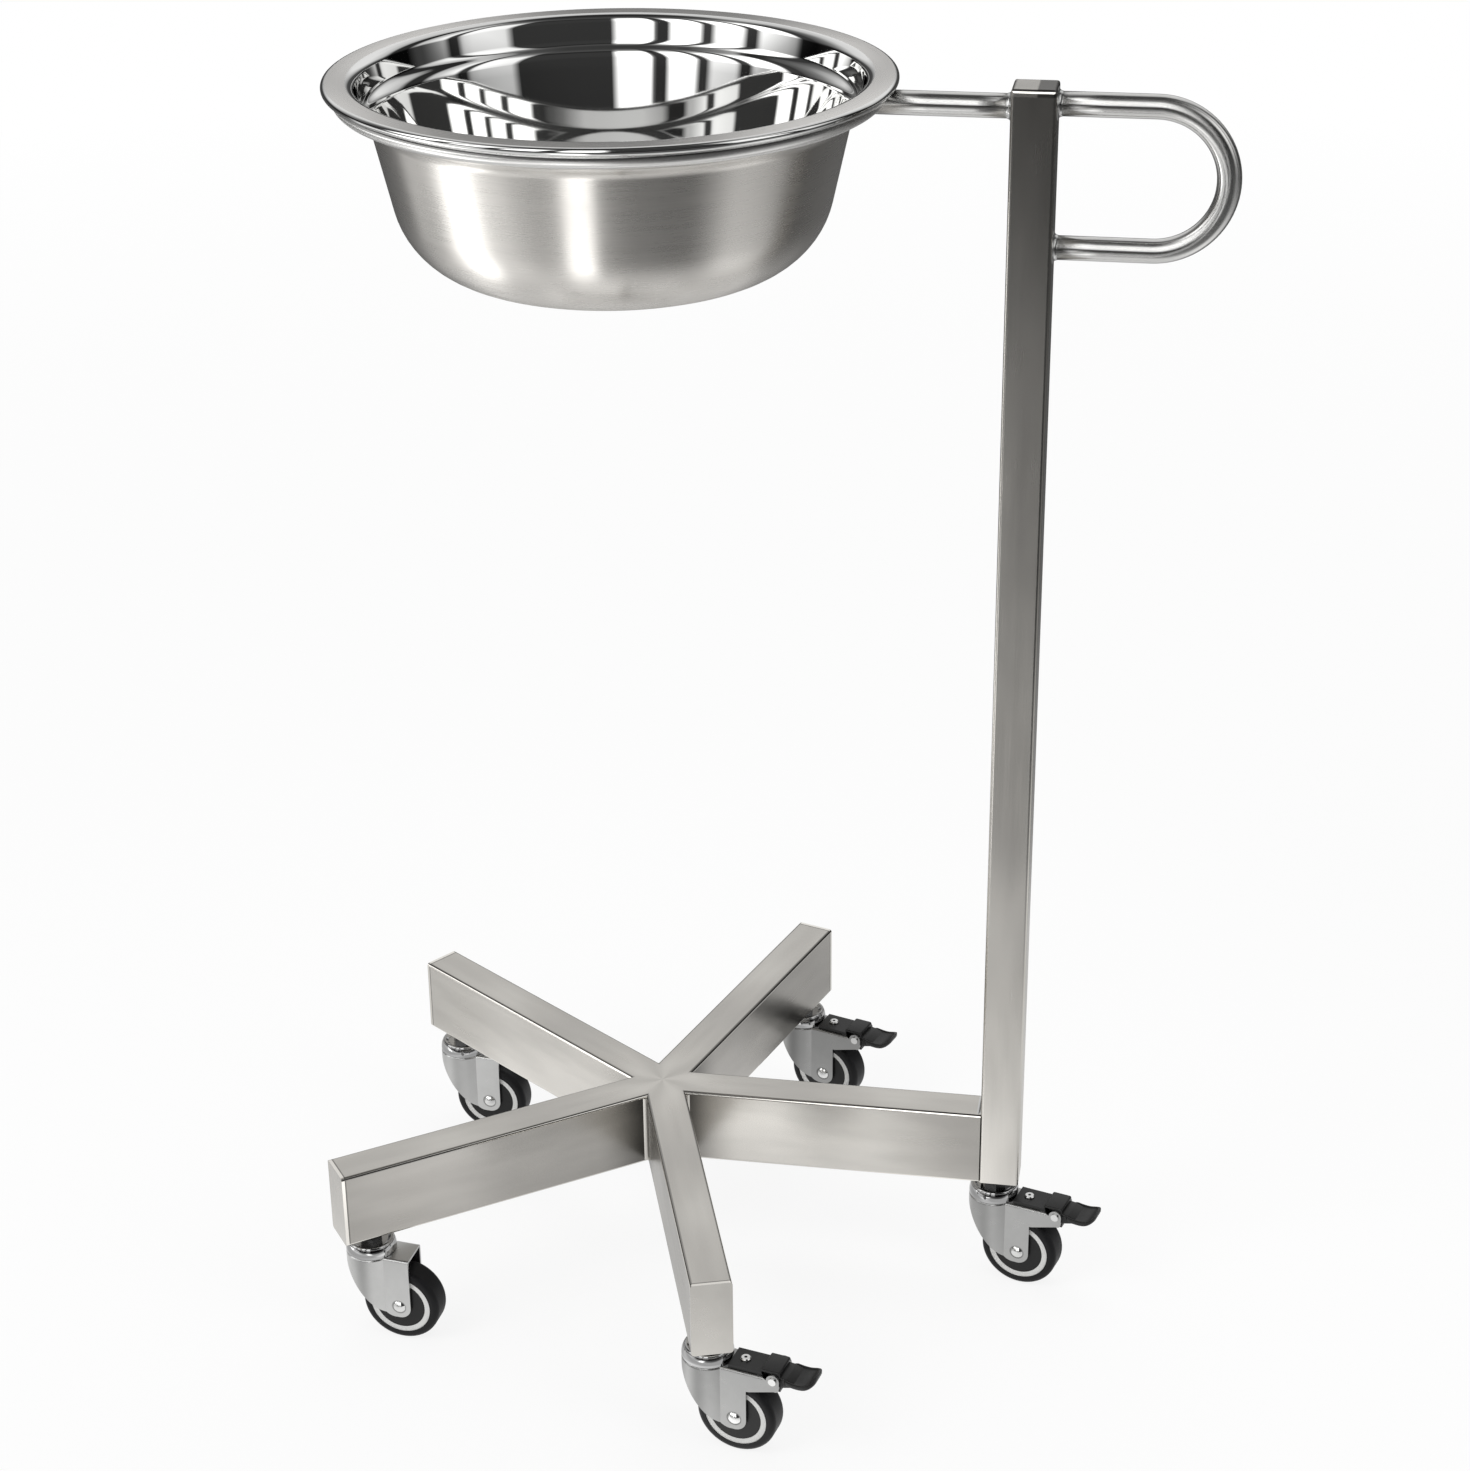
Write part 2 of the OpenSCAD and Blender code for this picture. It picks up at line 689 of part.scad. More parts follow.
// The plastic core: a rim, a web and a boss for the bush
module wheel_core(i) {
    web_t = 5;
    boss_r = bush_r + 2.4;
    boss_w = core_w - 2 * cover_t - 0.4;
    color(grey_colour) turned(i) {
        translate([tyre_in_r - core_rim_t, -core_w / 2]) square([core_rim_t - run_gap, core_w]);
        translate([bush_r + run_gap, -web_t / 2]) square([tyre_in_r - bush_r - run_gap - core_rim_t / 2, web_t]);
        translate([bush_r + run_gap, -boss_w / 2]) square([boss_r - bush_r - run_gap, boss_w]);
    }
}

// The two black covers that close the core's faces
module hub_covers(i) {
    color(black_colour) for (side = [-1, 1]) turned(i) {
        translate([bush_r + run_gap, side * (core_w - cover_t) / 2 - cover_t / 2])
            square([cover_r - bush_r - run_gap - run_gap, cover_t]);
    }
}

module wheel_bush(i) {
    color(zinc_colour) turned(i) translate([axle_d / 2 + run_gap, -bush_len / 2])
        square([bush_r - axle_d / 2 - run_gap, bush_len]);
}

// The pedal's foot pad from the side: a dished blade that starts at the hub
module pad_profile() {
    polygon([
        [pin_u - 0.5, pin_z - 1],
        [pin_u - 0.5, block_low + 0.5],
        [pedal_front_u + 0.4, fork_top + 1.6],
        [pad_curve[0] - 3, pad_curve[1] - sqrt(pow(pad_curve_r, 2) - 9)],
        [pad_curve[0], pad_curve[1] - pad_curve_r - pedal_t],
        [cam[0], cam[1] - cam_r * 0.9]
    ]);
    intersection() {
        translate(pad_curve) circle(pad_curve_r + pedal_t);
        translate([pad_curve[0] - 1.5, fork_top - 8]) square([pedal_reach - pad_curve[0] + 1.5, pad_top - fork_top + 8]);
    }
}

// The pedal from above: narrow between the fork's arms, wider and round at the foot pad
module pedal_plan() {
    half = pedal_w / 2;
    wide_u = pin_u + pin_lobe_r + 2.9;
    pad_u = pedal_reach - pad_corner_r;
    translate([pedal_back_u, -pedal_in_w / 2]) square([pad_u - pedal_back_u, pedal_in_w]);
    translate([wide_u, -half]) square([pad_u - wide_u, pedal_w]);
    translate([pad_u, -half + pad_corner_r]) square([pad_corner_r, pedal_w - 2 * pad_corner_r]);
    for (side = [-1, 1]) translate([pad_u, side * (half - pad_corner_r)]) circle(pad_corner_r);
}

module brake_pedal(i) {
    color(black_colour) at_caster(i) difference() {
        intersection() {
            union() {
                across(pedal_w + 2 * cut) pad_profile();
                across(pedal_w + 2 * cut) translate([pin_u, pin_z]) circle(pedal_hub_r);
                across(pedal_w + 2 * cut) translate(cam) circle(cam_r);
                across(pedal_w + 2 * cut) polygon([
                    [pedal_back_u, block_low],
                    [pedal_back_u, block_top - 0.8],
                    [pedal_back_u + 0.8, block_top],
                    [pedal_front_u - 0.8, block_top],
                    [pedal_front_u, block_top - 0.8],
                    [pedal_front_u, block_low],
                    [pin_u, pin_z - 0.6]
                ]);
            }
            linear_extrude(leg_clearance) pedal_plan();
        }
        across(pedal_w + 4 * cut) translate(pad_curve) circle(pad_curve_r);
        translate([pin_u, 0, pin_z]) rotate([90, 0, 0])
            cylinder(r = pin_d / 2 + run_gap, h = pedal_w + 2 * cut, center = true);
    }
}

// The black spring leaf on the fork. It dips under the pedal's cam, and its tongue carries the shoe.
module brake_leaf(i) {
    cam_low = leaf_cam_top - leaf_t;
    leaf_top = leaf_low + leaf_t;
    back_u = pedal_back_u + 0.6;
    dip_u = pin_u - pedal_hub_r - 0.8;
    inner_u = cap_r + 2 * side_gap;
    color(black_colour) at_caster(i) difference() {
        across(2 * leaf_half) union() {
            polygon([
                [inner_u, leaf_low],
                [back_u - 0.4, leaf_low],
                [dip_u - 0.4, cam_low],
                [leaf_end_u, cam_low],
                [leaf_end_u, leaf_cam_top],
                [dip_u + 0.2, leaf_cam_top],
                [back_u, leaf_top],
                [inner_u, leaf_top]
            ]);
            translate([shoe_u, shoe_low]) square([shoe_t, leaf_low + 0.2 - shoe_low]);
            translate([shoe_u, shoe_low]) square([shoe_len, shoe_t]);
        }
        translate([rivet_u, 0, fork_top]) cylinder(r = rivet_r + side_gap, h = 2 * leaf_t);
        for (side = [-1, 1]) translate([shoe_u - cut, side * leaf_half - (side > 0 ? 3 : 0), shoe_low - cut])
            cube([shoe_len + 2 * cut, 3, leaf_low - shoe_low + cut]);
    }
}

// The pedal's pin across the fork's arms, and the tubular rivet that holds the leaf
module brake_pins(i) {
    pin_len = fork_w + 1.6;
    head_h = 1.2;
    head_low = leaf_low + leaf_t + rivet_lift;
    low = fork_under - head_h;
    color(polished_colour) at_caster(i) {
        translate([pin_u, 0, pin_z]) rotate([90, 0, 0]) cylinder(r = pin_d / 2, h = pin_len, center = true);
        for (side = [-1, 1]) translate([pin_u, side * (fork_w / 2 + run_gap + 0.5), pin_z]) rotate([90, 0, 0])
            cylinder(r = pin_d / 2 + 0.9, h = 1, center = true);
        translate([rivet_u, 0, 0]) difference() {
            union() {
                translate([0, 0, low]) cylinder(r = rivet_r, h = head_low + head_h - low);
                translate([0, 0, low]) cylinder(r = rivet_r + 1.2, h = head_h);
                translate([0, 0, head_low]) cylinder(r = rivet_head_d / 2, h = head_h / 2);
                translate([0, 0, head_low + head_h / 2])
                    cylinder(r1 = rivet_head_d / 2, r2 = rivet_head_d / 2 - head_h / 2, h = head_h / 2);
            }
            translate([0, 0, fork_top - 1]) cylinder(r = rivet_r * 0.6, h = head_h + 4);
        }
    }
}

leg(0);  // leg_post
leg(1);  // leg_back_right
leg(2);  // leg_back_left
leg(3);  // leg_front_left
leg(4);  // leg_front
leg_end_caps();
hub_welds();
post();
post_cap();
post_welds();
support_arm();
support_ring();
push_handle();
bowl();
stem_sockets();
caster_stems();
swivel_caps();
swivel_balls();
swivel_washers();
fork(0);  // fork_post
fork(1);  // fork_back_right
fork(2);  // fork_back_left
fork(3);  // fork_front_left
fork(4);  // fork_front
axle_bolt(0);  // axle_bolt_post
axle_bolt(1);  // axle_bolt_back_right
axle_bolt(2);  // axle_bolt_back_left
axle_bolt(3);  // axle_bolt_front_left
axle_bolt(4);  // axle_bolt_front
tyre(0);  // tyre_post
tyre(1);  // tyre_back_right
tyre(2);  // tyre_back_left
tyre(3);  // tyre_front_left
tyre(4);  // tyre_front
wheel_core(0);  // wheel_core_post
wheel_core(1);  // wheel_core_back_right
wheel_core(2);  // wheel_core_back_left
wheel_core(3);  // wheel_core_front_left
wheel_core(4);  // wheel_core_front
hub_covers(0);  // hub_covers_post
hub_covers(1);  // hub_covers_back_right
hub_covers(2);  // hub_covers_back_left
hub_covers(3);  // hub_covers_front_left
hub_covers(4);  // hub_covers_front
wheel_bush(0);  // wheel_bush_post
wheel_bush(1);  // wheel_bush_back_right
wheel_bush(2);  // wheel_bush_back_left
wheel_bush(3);  // wheel_bush_front_left
wheel_bush(4);  // wheel_bush_front
brake_pedal(0);  // brake_pedal_post
brake_pedal(1);  // brake_pedal_back_right
brake_pedal(4);  // brake_pedal_front
brake_leaf(0);  // brake_leaf_post
brake_leaf(1);  // brake_leaf_back_right
brake_leaf(4);  // brake_leaf_front
brake_pins(0);  // brake_pins_post
brake_pins(1);  // brake_pins_back_right
brake_pins(4);  // brake_pins_front
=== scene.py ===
import bpy
import bmesh
import math
from mathutils import Matrix, Vector


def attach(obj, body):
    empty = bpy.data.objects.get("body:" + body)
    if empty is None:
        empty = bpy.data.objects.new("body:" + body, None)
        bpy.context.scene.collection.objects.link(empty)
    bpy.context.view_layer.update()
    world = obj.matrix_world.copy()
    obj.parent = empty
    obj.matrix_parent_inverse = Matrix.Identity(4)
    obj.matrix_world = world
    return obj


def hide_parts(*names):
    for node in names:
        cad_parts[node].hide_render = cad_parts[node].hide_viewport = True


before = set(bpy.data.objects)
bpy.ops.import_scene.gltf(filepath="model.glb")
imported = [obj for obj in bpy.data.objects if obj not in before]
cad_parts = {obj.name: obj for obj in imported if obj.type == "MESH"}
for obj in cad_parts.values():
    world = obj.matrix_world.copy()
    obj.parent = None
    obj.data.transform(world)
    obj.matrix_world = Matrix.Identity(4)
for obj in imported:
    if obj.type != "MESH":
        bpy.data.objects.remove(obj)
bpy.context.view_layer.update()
print("frame loaded:", len(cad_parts), "nodes")

# Where the base's hub stands in this frame, how its legs point and how each caster was left turned, in degrees,
# and how far the swivel axes lie from the hub, in millimetres
hub = Vector((-0.071698, 0.000722, 0))
placeNames = ["post", "back_right", "back_left", "front_left", "front"]
legAngles = {"post": 0, "back_right": 72, "back_left": 144, "front_left": 216, "front": 288}
trailAngles = {"post": -16, "back_right": -18, "back_left": -6, "front_left": -7, "front": -13}
brakedPlaces = ["post", "back_right", "front"]
mm = 0.001
stemReach = {"post": 214.5, "back_right": 202.5, "back_left": 202.5, "front_left": 202.5, "front": 202.5}


# Where a caster's swivel axis meets the floor
def stemPlace(place):
    angle = math.radians(legAngles[place])
    return hub + Vector((math.cos(angle), math.sin(angle), 0)) * stemReach[place] * mm


# Makes a node with the given settings; inputs are given as values or as sockets to link
def addNode(tree, kind, values=None, **settings):
    made = tree.nodes.new(kind)
    for key, value in settings.items():
        setattr(made, key, value)
    return setInputs(tree, made, values or {})


def mathNode(tree, operation, first, second=None, clamp=False):
    values = {0: first}
    if second is not None:
        values[1] = second
    return addNode(tree, "ShaderNodeMath", values, operation=operation, use_clamp=clamp).outputs[0]


def rampNode(tree, factor, stops):
    made = addNode(tree, "ShaderNodeValToRGB", {"Fac": factor})
    ramp = made.color_ramp
    while len(ramp.elements) < len(stops):
        ramp.elements.new(0.5)
    for element, (place, level) in zip(ramp.elements, sorted(stops)):
        element.position = place
        element.color = grey(level)
    return made.outputs["Color"]


def mixColors(tree, factor, first, second, blend="MIX"):
    made = addNode(tree, "ShaderNodeMix", data_type="RGBA", blend_type=blend)
    return setInputs(tree, made, {0: factor, 6: first, 7: second}).outputs[2]


def mixShaders(tree, factor, first, second):
    return addNode(tree, "ShaderNodeMixShader", {0: factor, 1: first, 2: second}).outputs[0]


def mapRange(tree, value, fromLow, fromHigh, toLow=0.0, toHigh=1.0, shape="LINEAR"):
    values = {0: value, 1: fromLow, 2: fromHigh, 3: toLow, 4: toHigh}
    return addNode(tree, "ShaderNodeMapRange", values, interpolation_type=shape).outputs[0]


def vectorMath(tree, operation, first, second=None):
    values = {0: first}
    if second is not None:
        values[1] = second
    made = addNode(tree, "ShaderNodeVectorMath", values, operation=operation)
    return made.outputs["Value" if operation in ("LENGTH", "DOT_PRODUCT") else "Vector"]


def splitVector(tree, vector):
    return addNode(tree, "ShaderNodeSeparateXYZ", {0: vector}).outputs


def joinVector(tree, parts):
    return addNode(tree, "ShaderNodeCombineXYZ", parts).outputs[0]


# The given share of the first value and the rest of the second
def blendValues(tree, share, first, second):
    parts = [mathNode(tree, "MULTIPLY", value, part) for value, part in ((first, share), (second, 1 - share))]
    return mathNode(tree, "ADD", *parts)


# The long side of a right-angled triangle
def longSide(tree, first, second):
    squares = [mathNode(tree, "MULTIPLY", side, side) for side in (first, second)]
    return mathNode(tree, "SQRT", mathNode(tree, "ADD", *squares))


def multiplyColor(tree, color, factor):
    return mixColors(tree, 1.0, color, factor, "MULTIPLY")


def scaledColor(base, factor):
    return tuple(min(1.0, c * factor) for c in base) + (1,)


def grey(level):
    return (level, level, level, 1)


def objectPlace(tree):
    return addNode(tree, "ShaderNodeTexCoord").outputs["Object"]


def newGroup(name, inputs, outputs):
    tree = bpy.data.node_groups.new(name, "ShaderNodeTree")
    for label, kind, value in inputs:
        socket = tree.interface.new_socket(label, in_out="INPUT", socket_type=kind)
        if value is not None:
            socket.default_value = value
    for label, kind in outputs:
        tree.interface.new_socket(label, in_out="OUTPUT", socket_type=kind)
    return tree, tree.nodes.new("NodeGroupInput"), tree.nodes.new("NodeGroupOutput")


def setInputs(tree, node, values):
    for key, value in values.items():
        if isinstance(value, bpy.types.NodeSocket):
            tree.links.new(value, node.inputs[key])
        else:
            node.inputs[key].default_value = value
    return node


def useGroup(tree, group, values):
    return setInputs(tree, addNode(tree, "ShaderNodeGroup", node_tree=group), values)


def newMaterial(name):
    material = bpy.data.materials.new(name)
    material.use_nodes = True
    tree = material.node_tree
    shader = tree.nodes["Principled BSDF"]
    return material, tree, shader


def noiseNode(tree, vector, detail, roughness):
    values = {"Vector": vector, "Scale": 1.0, "Detail": detail, "Roughness": roughness}
    return addNode(tree, "ShaderNodeTexNoise", values).outputs[0]


# A group's vector, counted in steps of the size in millimetres that the named input gives
def sizedVector(tree, given, label):
    values = {0: given.outputs["Vector"], "Scale": mathNode(tree, "DIVIDE", 1000.0, given.outputs[label])}
    return addNode(tree, "ShaderNodeVectorMath", values, operation="SCALE").outputs[0]


# Grain left by a brushing belt: x of the given vector runs along the strokes, in metres
def makeGrainGroup():
    tree, given, out = newGroup(
        "brushGrain",
        [("Vector", "NodeSocketVector", None), ("Stroke Length", "NodeSocketFloat", 60.0),
         ("Stroke Width", "NodeSocketFloat", 1.0), ("Patch Size", "NodeSocketFloat", 40.0)],
        [("Strokes", "NodeSocketFloat"), ("Bands", "NodeSocketFloat"), ("Patches", "NodeSocketFloat")])
    place = splitVector(tree, given.outputs["Vector"])

    def drawnOut(lengthFactor, widthFactor):
        along = mathNode(tree, "DIVIDE", 1000 / lengthFactor, given.outputs["Stroke Length"])
        across = mathNode(tree, "DIVIDE", 1000 / widthFactor, given.outputs["Stroke Width"])
        ways = enumerate((along, across, across))
        return joinVector(tree, {axis: mathNode(tree, "MULTIPLY", place[axis], factor) for axis, factor in ways})

    tree.links.new(noiseNode(tree, drawnOut(1, 1), 3.0, 0.65), out.inputs["Strokes"])
    tree.links.new(noiseNode(tree, drawnOut(3, 7), 2.0, 0.55), out.inputs["Bands"])
    tree.links.new(noiseNode(tree, sizedVector(tree, given, "Patch Size"), 2.0, 0.5), out.inputs["Patches"])
    return tree


# Thin haze and tiny specks that break up a plated or moulded surface
def makeHazeGroup():
    tree, given, out = newGroup(
        "surfaceHaze",
        [("Vector", "NodeSocketVector", None), ("Cloud Size", "NodeSocketFloat", 8.0),
         ("Speck Size", "NodeSocketFloat", 0.6)],
        [("Cloud", "NodeSocketFloat"), ("Specks", "NodeSocketFloat")])
    tree.links.new(noiseNode(tree, sizedVector(tree, given, "Cloud Size"), 4.0, 0.6), out.inputs["Cloud"])
    tree.links.new(noiseNode(tree, sizedVector(tree, given, "Speck Size"), 2.0, 0.7), out.inputs["Specks"])
    return tree


brushGrain = makeGrainGroup()
surfaceHaze = makeHazeGroup()


def addBump(tree, shader, height, **settings):
    bump = addNode(tree, "ShaderNodeBump", {"Height": height, **settings})
    tree.links.new(bump.outputs[0], shader.inputs["Normal"])


# Noise stays mostly between 0.3 and 0.7, which this widens to the given levels
def spread(tree, value, low=0.0, high=1.0):
    return mapRange(tree, value, 0.3, 0.7, low, high)


def spreadOutputs(tree, group, *labels):
    return [spread(tree, group.outputs[label]) for label in labels]


# The post's painted light and shade against height in metres: its colour is lighter at the foot and darker towards the
# top, set against the photo's light
postPaintedLight = {
    "stops": [(0.0, 1.35), (0.12, 1.35), (0.20, 1.05), (0.45, 0.74), (0.65, 0.58), (0.8, 0.54)],
    "tall": 0.8, "most": 1.4,
}


# A curve through (place, level) points; places go from low to high, and no level is over the top
def curveNode(tree, factor, stops, low, high, top):
    made = addNode(tree, "ShaderNodeFloatCurve", {"Value": factor})
    curve = made.mapping.curves[0]
    placed = [((x - low) / (high - low), y / top) for x, y in stops]
    curve.points[0].location = placed[0]
    curve.points[1].location = placed[-1]
    for place in placed[1:-1]:
        curve.points.new(*place)
    for point in curve.points:
        point.handle_type = "VECTOR"
    made.mapping.update()
    return mathNode(tree, "MULTIPLY", made.outputs[0], top)


# The legs' satin finish, with painted light and shade. A leg's tones are (top, sides, sides at the hub): painted light
# and shade on each face, set against the photo's light; with all of them at 1 the legs differ only where the post
# stands.
# The corner and post shades are painted shade and the seam is a dark joint; they run between two distances from the
# hub, in metres, and a third number is their level. The edge lines are a painted highlight beside a painted dark line.
# Tops and edges are told by how far a face looks up.
legLook = {
    "base": (0.70, 0.678, 0.638), "rough": (0.22, 0.29), "stretch": 0.5,
    "stroke": {"Stroke Length": 45.0, "Stroke Width": 0.9, "Patch Size": 55.0},
    "smear": {"Stroke Length": 60.0, "Stroke Width": 6.0, "Patch Size": 28.0}, "smearSquash": 28.0 / 120.0,
    "warmPatch": (0.86, 0.83, 0.79), "warmShare": 0.15, "strokeShade": 0.955, "smearTones": (0.82, 1.10),
    "tones": {"post": (1.02, 1.14, 0.30), "back_right": (0.94, 0.66, 0.30), "back_left": (0.97, 1.14, 0.80),
              "front_left": (1.0, 0.68, 0.30), "front": (0.97, 0.98, 0.30)},
    "cornerShade": (0.012, 0.054), "postShade": (0.12, 0.206, 0.68), "seam": (0.2194, 0.2204, 0.26),
    "paintedEdgeShade": 0.58, "paintedEdgeHighlight": 1.3, "edgeRough": 0.10, "bend": (0.15, 0.5),
    "star": (0.93, 1.10), "starReach": (0.018, 0.040), "strokeShare": 0.4, "roughShare": 0.6,
    "bump": {"Strength": 0.03, "Distance": 0.0003}, "topFacing": 0.9, "edgeFacing": 0.80, "starSoft": 0.9,
}


# Paints light and shade on the post: its colour is scaled by a level that falls with height
def paintPostLight(tree, place, color):
    share = mathNode(tree, "DIVIDE", splitVector(tree, place)[2], postPaintedLight["tall"], clamp=True)
    tone = curveNode(tree, share, postPaintedLight["stops"], 0.0, postPaintedLight["tall"], postPaintedLight["most"])
    return multiplyColor(tree, color, tone)


# A leg: each face has painted light and shade, with painted shade in the corners at the hub and towards the post, a
# dark end seam, a painted highlight and dark line along each edge, and the hub's star, partly painted reflection
def legPaintedLightAndSeam(tree, moved, turned, facing, onBend, color, tones, meetsPost):
    look = legLook
    along = splitVector(tree, turned)[0]
    isTop = mathNode(tree, "GREATER_THAN", facing[2], look["topFacing"])
    # Painted light and shade: the top and the sides each get their own tone
    color = multiplyColor(tree, color, mixColors(tree, isTop, grey(tones[1]), grey(tones[0])))
    # Painted shade on the sides near the hub, where the legs meet
    near, clear = look["cornerShade"]
    corner = mapRange(tree, along, near, clear, tones[2], 1.0, "SMOOTHSTEP")
    # More painted shade on the sides of the leg under the post, towards the post
    if meetsPost:
        near, clear, least = look["postShade"]
        corner = mathNode(tree, "MULTIPLY", corner, mapRange(tree, along, near, clear, 1.0, least, "SMOOTHSTEP"))
    color = multiplyColor(tree, color, mixColors(tree, isTop, corner, grey(1)))
    near, clear, least = look["seam"]
    color = multiplyColor(tree, color, mapRange(tree, along, near, clear, 1.0, least))
    # Each long edge shows a painted dark line beside a painted highlight
    upper = mathNode(tree, "MULTIPLY", onBend, mathNode(tree, "GREATER_THAN", facing[2], look["edgeFacing"]))
    color = mixColors(tree, upper, color, multiplyColor(tree, color, grey(look["paintedEdgeShade"])))
    lower = mathNode(tree, "MULTIPLY", onBend, mathNode(tree, "LESS_THAN", facing[2], look["edgeFacing"]))
    color = mixColors(tree, lower, color, scaledColor(look["base"], look["paintedEdgeHighlight"]))
    # The five tops are ground together at the hub, which leaves a soft star; its lighter and darker sectors are painted
    # reflection
    flat = splitVector(tree, moved)
    reach = longSide(tree, flat[0], flat[1])
    turns = mathNode(tree, "MULTIPLY", mathNode(tree, "ARCTAN2", flat[1], flat[0]), len(placeNames))
    star = mapRange(tree, mathNode(tree, "SINE", turns), -look["starSoft"], look["starSoft"], *look["star"])
    middle = mapRange(tree, reach, *look["starReach"], 1.0, 0.0)
    return mixColors(tree, mathNode(tree, "MULTIPLY", middle, isTop), color, multiplyColor(tree, color, star))


def makeBrushedTube(name, angle=0, upright=False, stretch=legLook["stretch"], tones=None):
    look = legLook
    base = look["base"]
    material, tree, shader = newMaterial(name)
    place = objectPlace(tree)
    moved = vectorMath(tree, "SUBTRACT", place, tuple(hub))
    geometry = addNode(tree, "ShaderNodeNewGeometry").outputs

    def turnedToPiece(vector):
        degrees, axis = (90, "Y_AXIS") if upright else (-angle, "Z_AXIS")
        values = {"Vector": vector, "Angle": math.radians(degrees)}
        return addNode(tree, "ShaderNodeVectorRotate", values, rotation_type=axis).outputs[0]

    turned = turnedToPiece(moved)
    facing = splitVector(tree, turnedToPiece(geometry["True Normal"]))
    grain = useGroup(tree, brushGrain, {"Vector": turned, **look["stroke"]})
    strokes, bands, patches = spreadOutputs(tree, grain, "Strokes", "Bands", "Patches")
    # Longer, softer marks where the belt lingered
    drawn = vectorMath(tree, "MULTIPLY", turned, (look["smearSquash"], 1, 1))
    smears = useGroup(tree, brushGrain, {"Vector": drawn, **look["smear"]})
    blend = blendValues(tree, look["strokeShare"], strokes, bands)
    color = mixColors(tree, blend, scaledColor(base, look["strokeShade"]), scaledColor(base, 1))
    warm = tuple(b * w for b, w in zip(base, look["warmPatch"])) + (1,)
    color = mixColors(tree, mathNode(tree, "MULTIPLY", patches, look["warmShare"]), color, warm)
    color = multiplyColor(tree, color, spread(tree, smears.outputs["Patches"], *look["smearTones"]))
    # How far a rounded corner has turned: 0 on the flat faces, 1 in the middle of the bend
    slant = mathNode(tree, "MULTIPLY", facing[1], facing[0 if upright else 2])
    bendShare = mathNode(tree, "MULTIPLY", mathNode(tree, "ABSOLUTE", slant), 2.0)
    onBend = mapRange(tree, bendShare, *look["bend"])
    # The post gets painted light and shade up its height
    if upright and stretch:
        color = paintPostLight(tree, place, color)
    if not upright:
        color = legPaintedLightAndSeam(tree, moved, turned, facing, onBend, color, tones, angle == 0)
    tree.links.new(color, shader.inputs["Base Color"])
    worn = mapRange(tree, blendValues(tree, look["roughShare"], blend, patches), 0.0, 1.0, *look["rough"])
    tree.links.new(mixColors(tree, onBend, worn, grey(look["edgeRough"])), shader.inputs["Roughness"])
    addBump(tree, shader, grain.outputs["Strokes"], **look["bump"])
    shader.inputs["Metallic"].default_value = 1.0
    if stretch:
        shader.inputs["Anisotropic"].default_value = stretch
        # The strokes widen a reflection across themselves
        turn = math.radians(angle)
        grainWay = (0, 0, 1) if upright else (math.cos(turn), math.sin(turn), 0)
        side = vectorMath(tree, "CROSS_PRODUCT", geometry["Normal"], grainWay)
        tree.links.new(side, shader.inputs["Tangent"])
    return material


# The plates that close the leg ends: a dull face and a painted highlight on the rim
plateLook = {"tones": (0.93, 1.04), "haze": {"Cloud Size": 26.0, "Speck Size": 2.0}, "rimFacing": 0.9}


def makeEndPlate(name):
    look = legLook
    material, tree, shader = newMaterial(name)
    place = objectPlace(tree)
    moved = vectorMath(tree, "SUBTRACT", place, tuple(hub))
    outward = vectorMath(tree, "NORMALIZE", vectorMath(tree, "MULTIPLY", moved, (1, 1, 0)))
    normal = addNode(tree, "ShaderNodeNewGeometry").outputs["True Normal"]
    isRim = mathNode(tree, "LESS_THAN", vectorMath(tree, "DOT_PRODUCT", normal, outward), plateLook["rimFacing"])
    haze = useGroup(tree, surfaceHaze, {"Vector": place, **plateLook["haze"]})
    cloud = spread(tree, haze.outputs["Cloud"])
    face = mixColors(tree, cloud, *(scaledColor(look["base"], tone) for tone in plateLook["tones"]))
    # The rim gets the painted edge highlight
    color = mixColors(tree, isRim, face, scaledColor(look["base"], look["paintedEdgeHighlight"]))
    tree.links.new(color, shader.inputs["Base Color"])
    dull = mapRange(tree, cloud, 0.0, 1.0, *look["rough"])
    tree.links.new(mixColors(tree, isRim, dull, grey(look["edgeRough"])), shader.inputs["Roughness"])
    shader.inputs["Metallic"].default_value = 1.0
    return material


# Polished and plated metal, with soft haze; base is its colour, rough the range of its roughness
polishLook = {"haze": {"Cloud Size": 14.0, "Speck Size": 0.5}, "dull": 0.9, "dullShare": 0.4, "cloudShare": 0.6}


def makePolishedRod(name, base, rough):
    look = polishLook
    material, tree, shader = newMaterial(name)
    haze = useGroup(tree, surfaceHaze, {"Vector": objectPlace(tree), **look["haze"]})
    cloud, specks = spreadOutputs(tree, haze, "Cloud", "Specks")
    duller = mathNode(tree, "MULTIPLY", cloud, look["dullShare"])
    color = mixColors(tree, duller, scaledColor(base, 1), scaledColor(base, look["dull"]))
    tree.links.new(color, shader.inputs["Base Color"])
    worn = blendValues(tree, look["cloudShare"], cloud, specks)
    tree.links.new(mapRange(tree, worn, 0.0, 1.0, *rough), shader.inputs["Roughness"])
    shader.inputs["Metallic"].default_value = 1.0
    return material


# Ground and polished bar: the marks run round it, so reflections are drawn out along it.
# The bar lies along x up to the given bend, and turns there about a centre (x, z) or, as a ring, about (x, y).
barLook = {"base": (0.80, 0.795, 0.78), "rough": (0.21, 0.25)}


